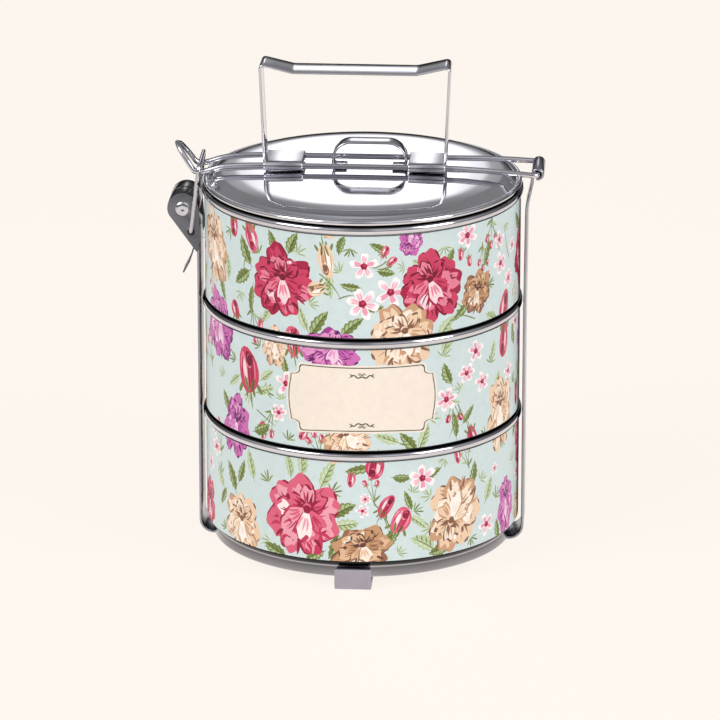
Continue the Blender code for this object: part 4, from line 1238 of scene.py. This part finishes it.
add_piece("frame_wire_round", frame_wire(), BRIGHT, "top_frame", ["frame_wire"])
HANDLE = join("carry_handle_strap", [
    carry_handle(),
    foot_clamp("left_clamp", -43.2 * MM, -26.0 * MM),
    foot_clamp("right_clamp", 20.6 * MM, 36.8 * MM),
])
add_piece("carry_handle_strap", HANDLE, BRIGHT, "top_frame", ["carry_handle"])


# ---------------------------------------------------------------- cradle
def strap_path():
    """Strap centreline in XZ: curl at the latch, down, under the bowls, up, and the hinge barrel."""
    pad_half = 5.0 * MM
    ramp = 4.5 * MM
    pad_level = STRAP_SHEET / 2
    curl_radius = 1.8 * MM + STRAP_SHEET / 2
    bend = (STRAP_LEFT, RIM_PLANE - 19.5 * MM)
    reach = (bend[0] - LEVER_PIVOT.x, bend[1] - LEVER_PIVOT.z)
    touch = degrees(atan2(reach[1], reach[0]) + acos(curl_radius / hypot(*reach)))
    curl = arc((LEVER_PIVOT.x, LEVER_PIVOT.z), curl_radius, 255, touch, 20)

    barrel_radius = 1.65 * MM + STRAP_SHEET / 2
    top = (HINGE.x - barrel_radius, HINGE.z - 4.0 * MM)
    corners = [curl[-1], bend, (STRAP_LEFT, FOOT_DROP)]
    radii = [3.0 * MM, 6.0 * MM]
    for side in (-1, 1):
        near = side * 46.0 * MM - pad_half - ramp
        corners += [
            (near, FOOT_DROP), (near + ramp, pad_level),
            (near + ramp + 2 * pad_half, pad_level), (near + 2 * (ramp + pad_half), FOOT_DROP),
        ]
        radii += [1.5 * MM] * 4
    corners += [
        (72.2 * MM, FOOT_DROP), (72.3 * MM, 110.0 * MM), (72.8 * MM, 158.0 * MM), top, (top[0], HINGE.z)
    ]
    radii += [6.0 * MM, 60.0 * MM, 8.0 * MM, 2.5 * MM]
    barrel = arc((HINGE.x, HINGE.z), barrel_radius, 180, -110, 24)
    return curl[:-1] + rounded(corners, radii, 8)[:-1] + barrel


def cradle_strap():
    points = in_plane(spaced(strap_path(), 6 * MM))
    return sweep("strap_round_edge", points, flat_section(STRAP_WIDTH, STRAP_SHEET), Vector((0, 1, 0)), chamfer=0.3)


add_piece("cradle_strap_steel", cradle_strap(), SATIN, "cradle", ["cradle_strap"])


def foot_bar():
    """Cross bar under the strap: a shallow channel with arched ends turned up against the base ring."""
    low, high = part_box("foot_bar")
    sheet = 1.2 * MM
    half_length = high.y - sheet / 2
    bend = 1.0 * MM
    half_width = high.x
    rail_top = FOOT_DROP - STRAP_SHEET / 2 - GAP - 0.1 * MM
    path = rounded(
        [(-half_length, high.z - sheet), (-half_length, sheet / 2), (half_length, sheet / 2),
         (half_length, high.z - sheet)],
        [bend, bend], 8,
    )
    points = [Vector((0.0, y, z)) for y, z in spaced(path, 3 * MM)]
    floor = sweep("channel_floor", points, flat_section(2 * half_width, sheet), Vector((1, 0, 0)))
    arch = 22.0 * MM
    for vertex in floor.vertices:
        limit = (arch ** 2 - vertex.co.x ** 2) ** 0.5 - arch + high.z
        if vertex.co.z > high.z - 1.6 * MM:
            vertex.co.z += limit - high.z + sheet * 0.98
    rails = []
    for side in (-1, 1):
        centre = side * (half_width - sheet / 2)
        rail = [Vector((centre, y, (rail_top + 0.4 * MM) / 2)) for y in (-half_length + bend, half_length - bend)]
        height = rail_top - 0.4 * MM
        rails.append(sweep("rail", rail, flat_section(sheet, height, sheet * 0.3), Vector((1, 0, 0)), chamfer=0.2))
    return join("foot_bar_channel", [floor, *rails])


add_piece("foot_bar_channel", foot_bar(), MATTE, "cradle", ["foot_bar"])


# ---------------------------------------------------------------- latch
PLATE_INNER = STRAP_WIDTH / 2 + GAP
PLATE_SHEET = 0.8 * MM
SIDEWAYS = Matrix.Rotation(pi / 2, 3, "X")


def pivot_rivet():
    """Rivet along Y with two domed heads and a small dimple in each."""
    seat = PLATE_INNER + PLATE_SHEET + 0.1 * MM
    crown = seat + 0.8 * MM
    head = [
        (0.0, crown - 0.22 * MM), (0.5 * MM, crown - 0.18 * MM), (0.9 * MM, crown - 0.02 * MM), (1.2 * MM, crown),
        (1.7 * MM, crown - 0.03 * MM), (2.3 * MM, crown - 0.15 * MM), (2.8 * MM, crown - 0.35 * MM),
        (3.15 * MM, crown - 0.55 * MM), (3.28 * MM, seat + 0.12 * MM), (3.22 * MM, seat + 0.02 * MM),
        (3.0 * MM, seat), (1.5 * MM, seat),
    ]
    profile = head + [(r, -z) for r, z in head[::-1]]
    return turned_mesh("pivot_rivet_domed", profile, LEVER_PIVOT, SIDEWAYS, 48)


def pivot_sleeve():
    """Black sleeve round the strap's curl: a moulding ridge round its middle and a slot for the strap."""
    radius = 7.0 * MM
    bore = 3.3 * MM
    half = STRAP_WIDTH / 2 - 0.2 * MM
    bend = Vector((STRAP_LEFT, 0.0, RIM_PLANE - 19.5 * MM)) - LEVER_PIVOT
    curl_radius = 1.8 * MM + STRAP_SHEET / 2
    touch = atan2(bend.z, bend.x) + acos(curl_radius / bend.length)
    tangent = Vector((cos(touch), 0.0, sin(touch))) * curl_radius
    slot_turn = atan2((bend - tangent).z, (bend - tangent).x)
    slot_half = 1.0 * MM
    direction = Vector((cos(slot_turn), 0.0, sin(slot_turn)))
    across = Vector((-sin(slot_turn), 0.0, cos(slot_turn)))
    shift = tangent.dot(across)

    def slot_angle(r, side):
        """Angle at which a circle of radius r meets one side of the slot."""
        reach = max(-0.999, min(0.999, (shift + side * slot_half) / r))
        return slot_turn + asin(reach)

    profile = [
        (bore + 0.15 * MM, half), (radius - 0.35 * MM, half), (radius - 0.08 * MM, half - 0.12 * MM),
        (radius, half - 0.45 * MM), (radius, 0.62 * MM), (radius - 0.06 * MM, 0.54 * MM),
        (radius - 0.32 * MM, 0.40 * MM), (radius - 0.35 * MM, 0.30 * MM),
    ]
    profile = profile + [(r, -y) for r, y in profile[::-1]] + [(bore, 0.15 * MM - half), (bore, half - 0.15 * MM)]
    count = 72
    points = []
    for i in range(count + 1):
        t = i / count
        for r, y in profile:
            start = slot_angle(r, 1)
            end = slot_angle(r, -1) + 2 * pi
            a = start + (end - start) * t
            points.append(LEVER_PIVOT + Vector((r * cos(a), y, r * sin(a))))
    size = len(profile)
    faces = []
    for i in range(count):
        for k in range(size):
            n = (k + 1) % size
            faces.append([i * size + k, i * size + n, (i + 1) * size + n, (i + 1) * size + k])
    faces += [list(range(size)), list(range(count * size, (count + 1) * size))[::-1]]
    return new_mesh("pivot_sleeve_moulded", points, faces, 30)


def ring_lip(name, centre, radius, thick, side):
    """A small raised round lip in the XZ plane."""
    path = [
        Vector((centre.x + radius * cos(a), centre.y, centre.z + radius * sin(a)))
        for a in (2 * pi * i / 28 for i in range(28))
    ]
    return sweep(name, path, round_section(thick, 8), closed=True)


def latch_lever():
    """Two cheek plates with pressed ribs, joined by a web along their outer edge, with a finger tail."""
    nose = 6.9 * MM
    tip = Vector((6.4 * MM, -20.6 * MM))
    outer_top = arc((0.0, 0.0), nose, 0, 205, 36)
    outline = rounded(outer_top[-3:] + [tuple(tip), (7.9 * MM, -13.0 * MM), outer_top[0]],
                      [0.01 * MM, 0.01 * MM, 0.5 * MM, 1.0 * MM], 5)
    outline = outer_top[1:-3] + [tuple(p) for p in outline]
    bail = BAIL_PIVOT - LEVER_PIVOT
    holes = [
        arc((0.0, 0.0), 1.8 * MM, 0, -345, 23),
        arc((bail.x, bail.z), 1.38 * MM, 0, -345, 23),
    ]
    centre = PLATE_INNER + PLATE_SHEET / 2
    parts = []
    corner = Vector(outer_top[-1])
    along = (tip - corner).normalized()
    inward_unit = Vector((-along.y, along.x))
    for side in (-1, 1):
        offset = LEVER_PIVOT + Vector((0.0, side * centre, 0.0))
        parts.append(plate_mesh("cheek", outline, holes, PLATE_SHEET, offset, 0.12 * MM))
        face = offset + Vector((0.0, side * PLATE_SHEET * 0.46, 0.0))
        lip = face + Vector((bail.x, 0.0, bail.z))
        parts.append(ring_lip("bail_lip", lip, 1.72 * MM, 0.24 * MM, side))
        for k in range(13):
            if 3 <= k <= 6:
                continue
            root = corner + along * ((4.2 + 1.45 * k) * MM) + inward_unit * 1.1 * MM
            reach = min(3.0, 0.9 + 0.22 * (12 - k)) * MM if k > 6 else (1.6 + 0.5 * k) * MM
            end = root + inward_unit * reach + along * 0.3 * MM
            line = [face + Vector((p.x, 0.0, p.y)) for p in (root, root.lerp(end, 0.5), end)]
            parts.append(sweep("rib", line, round_section(0.17 * MM, 8), chamfer=0.4))
    inward = inward_unit * (PLATE_SHEET / 2 + 0.15 * MM)
    web_start = corner + along * 6.5 * MM + inward
    web_end = tip - along * 2.6 * MM + inward
    web = [LEVER_PIVOT + Vector((p.x, 0.0, p.y)) for p in (web_start, web_start.lerp(web_end, 0.5), web_end)]
    parts.append(sweep("web", web, flat_section(2 * (PLATE_INNER + 0.1 * MM), PLATE_SHEET), Vector((0, 1, 0)), chamfer=0.3))
    tail_root = web_end - along * 0.9 * MM + inward * 0.3
    tail = rounded([tuple(tail_root), (2.2 * MM, -26.0 * MM), (-0.6 * MM, -31.35 * MM)], [3.0 * MM], 10)
    tail_path = [LEVER_PIVOT + Vector((p[0], 0.0, p[1])) for p in tail]
    parts.append(sweep("tail", tail_path, flat_section(11.0 * MM, 0.65 * MM), Vector((0, 1, 0)), chamfer=0.3))
    return join("latch_lever_stamping", parts)


def bail_wire():
    """U of wire over the frame's valley, its ends hooked through the lever's cheeks."""
    leg = 13.3 * MM
    hook_end = 9.4 * MM
    bend = 2.4 * MM
    top = Vector((-71.4 * MM, 0.0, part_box("bail_wire")[1].z - BAIL_RADIUS))
    up = (top - BAIL_PIVOT).normalized()
    side = Vector((0.0, 1.0, 0.0))

    def corner(centre, first, last):
        angles = [i * pi / 20 for i in range(11)]
        return [centre + first * bend * cos(a) + last * bend * sin(a) for a in angles]

    front = [BAIL_PIVOT - side * hook_end]
    front += corner(BAIL_PIVOT - side * (leg - bend) + up * bend, -up, -side)
    front += corner(top - side * (leg - bend) - up * bend, -side, up)
    rear = [Vector((p.x, -p.y, p.z)) for p in front[::-1]]
    return sweep("bail_wire_round", front + rear, round_section(BAIL_RADIUS, 16), chamfer=0.35)


add_piece("pivot_rivet_domed", pivot_rivet(), BRIGHT, "cradle", ["pivot_rivet"])
add_piece("pivot_sleeve_moulded", pivot_sleeve(), PLASTIC, "cradle", ["pivot_sleeve"])
add_piece("latch_lever_stamping", latch_lever(), DULL, "lever", ["latch_lever"])
add_piece("bail_wire_round", bail_wire(), BRIGHT, "bail", ["bail_wire"])


# ---------------------------------------------------------------- camera, light and floor
def set_camera():
    """Long lens, in front, a little to the right and above."""
    distance = 2.5
    azimuth = radians(3.6)
    elevation = radians(18.3)
    view_width = 0.3215
    aim = Vector((-1.2 * MM, 0.0, 83.4 * MM))
    away = Vector((sin(azimuth) * cos(elevation), -cos(azimuth) * cos(elevation), sin(elevation)))
    data = bpy.data.cameras.new("camera")
    data.sensor_width = 36.0
    data.lens = data.sensor_width * distance / view_width
    data.clip_start = 0.05
    data.clip_end = 50.0
    camera = bpy.data.objects.new("camera", data)
    turn = away.to_track_quat("Z", "Y").to_matrix().to_4x4()
    camera.matrix_world = Matrix.Translation(aim + away * distance) @ turn
    bpy.context.scene.collection.objects.link(camera)
    bpy.context.scene.camera = camera


def area_light(name, place, target, size, power, colour=(1.0, 1.0, 1.0)):
    data = bpy.data.lights.new(name, "AREA")
    data.shape = "RECTANGLE"
    data.size, data.size_y = size
    data.energy = power
    data.color = colour
    lamp = bpy.data.objects.new(name, data)
    direction = Vector(place) - Vector(target)
    lamp.matrix_world = Matrix.Translation(place) @ direction.to_track_quat("Z", "Y").to_matrix().to_4x4()
    bpy.context.scene.collection.objects.link(lamp)


def set_world():
    """A pale studio: bright overhead, a grey band low down, darker to both sides."""
    world = bpy.data.worlds.new("studio")
    bpy.context.scene.world = world
    nodes = Nodes(world)
    place = nodes.add("ShaderNodeTexCoord").outputs["Generated"]
    x, y, z = nodes.add("ShaderNodeSeparateXYZ", {"Vector": place}).outputs
    level = nodes.math("MULTIPLY_ADD", z, 0.5, 0.5)
    flat = nodes.math("SQRT", nodes.math(
        "ADD", nodes.math("MULTIPLY", x, x), nodes.math("ADD", nodes.math("MULTIPLY", y, y), 0.002)))
    height = nodes.ramp(level, [
        (0.0, grey(0.62)), (0.47, grey(0.55)), (0.485, grey(0.05)), (0.53, grey(0.07)), (0.56, grey(0.34)),
        (0.61, grey(0.62)), (0.72, grey(0.95)), (0.88, grey(0.88)), (1.0, grey(0.60)),
    ])
    facing = nodes.math("MULTIPLY_ADD", nodes.math("DIVIDE", y, flat), -0.5, 0.5)
    turned = nodes.ramp(facing, [
        (0.0, grey(0.34)), (0.22, grey(0.36)), (0.36, grey(0.58)), (0.52, grey(0.86)), (0.70, grey(1.0)),
        (0.985, grey(1.0)), (0.995, grey(0.55)), (1.0, grey(0.50)),
    ])
    tone = nodes.mix(1.0, height, turned, "MULTIPLY")
    offset = nodes.math("ABSOLUTE", nodes.math("ADD", nodes.math("DIVIDE", x, flat), 0.063))
    pane = nodes.ramp(offset, [(0.0, grey(1.0)), (0.028, grey(0.95)), (0.070, grey(0.18)), (0.16, grey(0.0))])
    rise = nodes.ramp(level, [
        (0.55, grey(0.0)), (0.575, grey(0.30)), (0.605, grey(1.0)), (0.685, grey(1.0)), (0.72, grey(0.10)), (0.78, grey(0.0)),
    ])
    behind = nodes.math("GREATER_THAN", y, 0.0)
    window = nodes.mix(1.0, nodes.mix(1.0, pane, rise, "MULTIPLY"), nodes.ramp(behind, [
        (0.0, grey(0.0)), (1.0, grey(1.0))]), "MULTIPLY")
    window = nodes.mix(1.0, window, (1.9, 1.9, 1.95, 1.0), "MULTIPLY")
    tone = nodes.mix(1.0, nodes.mix(1.0, tone, (0.96, 0.96, 1.0, 1.0), "MULTIPLY"), window, "ADD")
    light = nodes.add("ShaderNodeBackground", {"Color": tone, "Strength": 0.85})
    backdrop = nodes.add("ShaderNodeBackground", {"Color": (0.99, 0.93, 0.87, 1.0), "Strength": 1.0})
    seen = nodes.add("ShaderNodeLightPath").outputs["Is Camera Ray"]
    both = nodes.add("ShaderNodeMixShader", {0: seen, 1: light.outputs[0], 2: backdrop.outputs[0]})
    nodes.add("ShaderNodeOutputWorld", {"Surface": both.outputs[0]})


def set_floor():
    """A wide pale round floor that glows, its glow darkened towards both sides as painted shade."""
    mesh = bpy.data.meshes.new("floor")
    body = bmesh.new()
    bmesh.ops.create_circle(body, cap_ends=True, segments=96, radius=1.6)
    body.to_mesh(mesh)
    body.free()
    floor = bpy.data.objects.new("floor", mesh)
    floor.location.z = -0.2 * MM
    material = bpy.data.materials.new("floor_look")
    nodes = Nodes(material)
    x, y, z = nodes.add("ShaderNodeSeparateXYZ", {"Vector": nodes.mapped()}).outputs
    mottle = nodes.ramp(nodes.noise(nodes.mapped(), 3.0), [(0.3, (0.975, 0.91, 0.845)), (0.7, (0.985, 0.92, 0.855))])
    # Painted shade: the floor's glow fades towards both sides.
    side_painted_shade = nodes.ramp(nodes.math("ABSOLUTE", x), [(0.30, grey(1.0)), (0.60, grey(0.78)), (1.0, grey(0.72))])
    diffuse = nodes.add("ShaderNodeBsdfDiffuse", {"Color": (0.09, 0.084, 0.078, 1.0)})
    glow = nodes.add("ShaderNodeEmission", {"Color": nodes.mix(1.0, mottle, side_painted_shade, "MULTIPLY"), "Strength": 0.94})
    nodes.finish(nodes.add("ShaderNodeAddShader", {0: diffuse.outputs[0], 1: glow.outputs[0]}))
    mesh.materials.append(material)
    bpy.context.scene.collection.objects.link(floor)


set_camera()
set_world()
set_floor()
area_light("key", (-1.2, -1.1, 1.3), (0.0, 0.0, 0.1), (0.9, 0.9), 19.0, (0.98, 0.99, 1.0))
area_light("fill", (1.4, -0.9, 0.9), (0.0, 0.0, 0.1), (0.8, 1.0), 15.0, (0.97, 0.98, 1.0))
bpy.context.scene.view_settings.view_transform = "Standard"
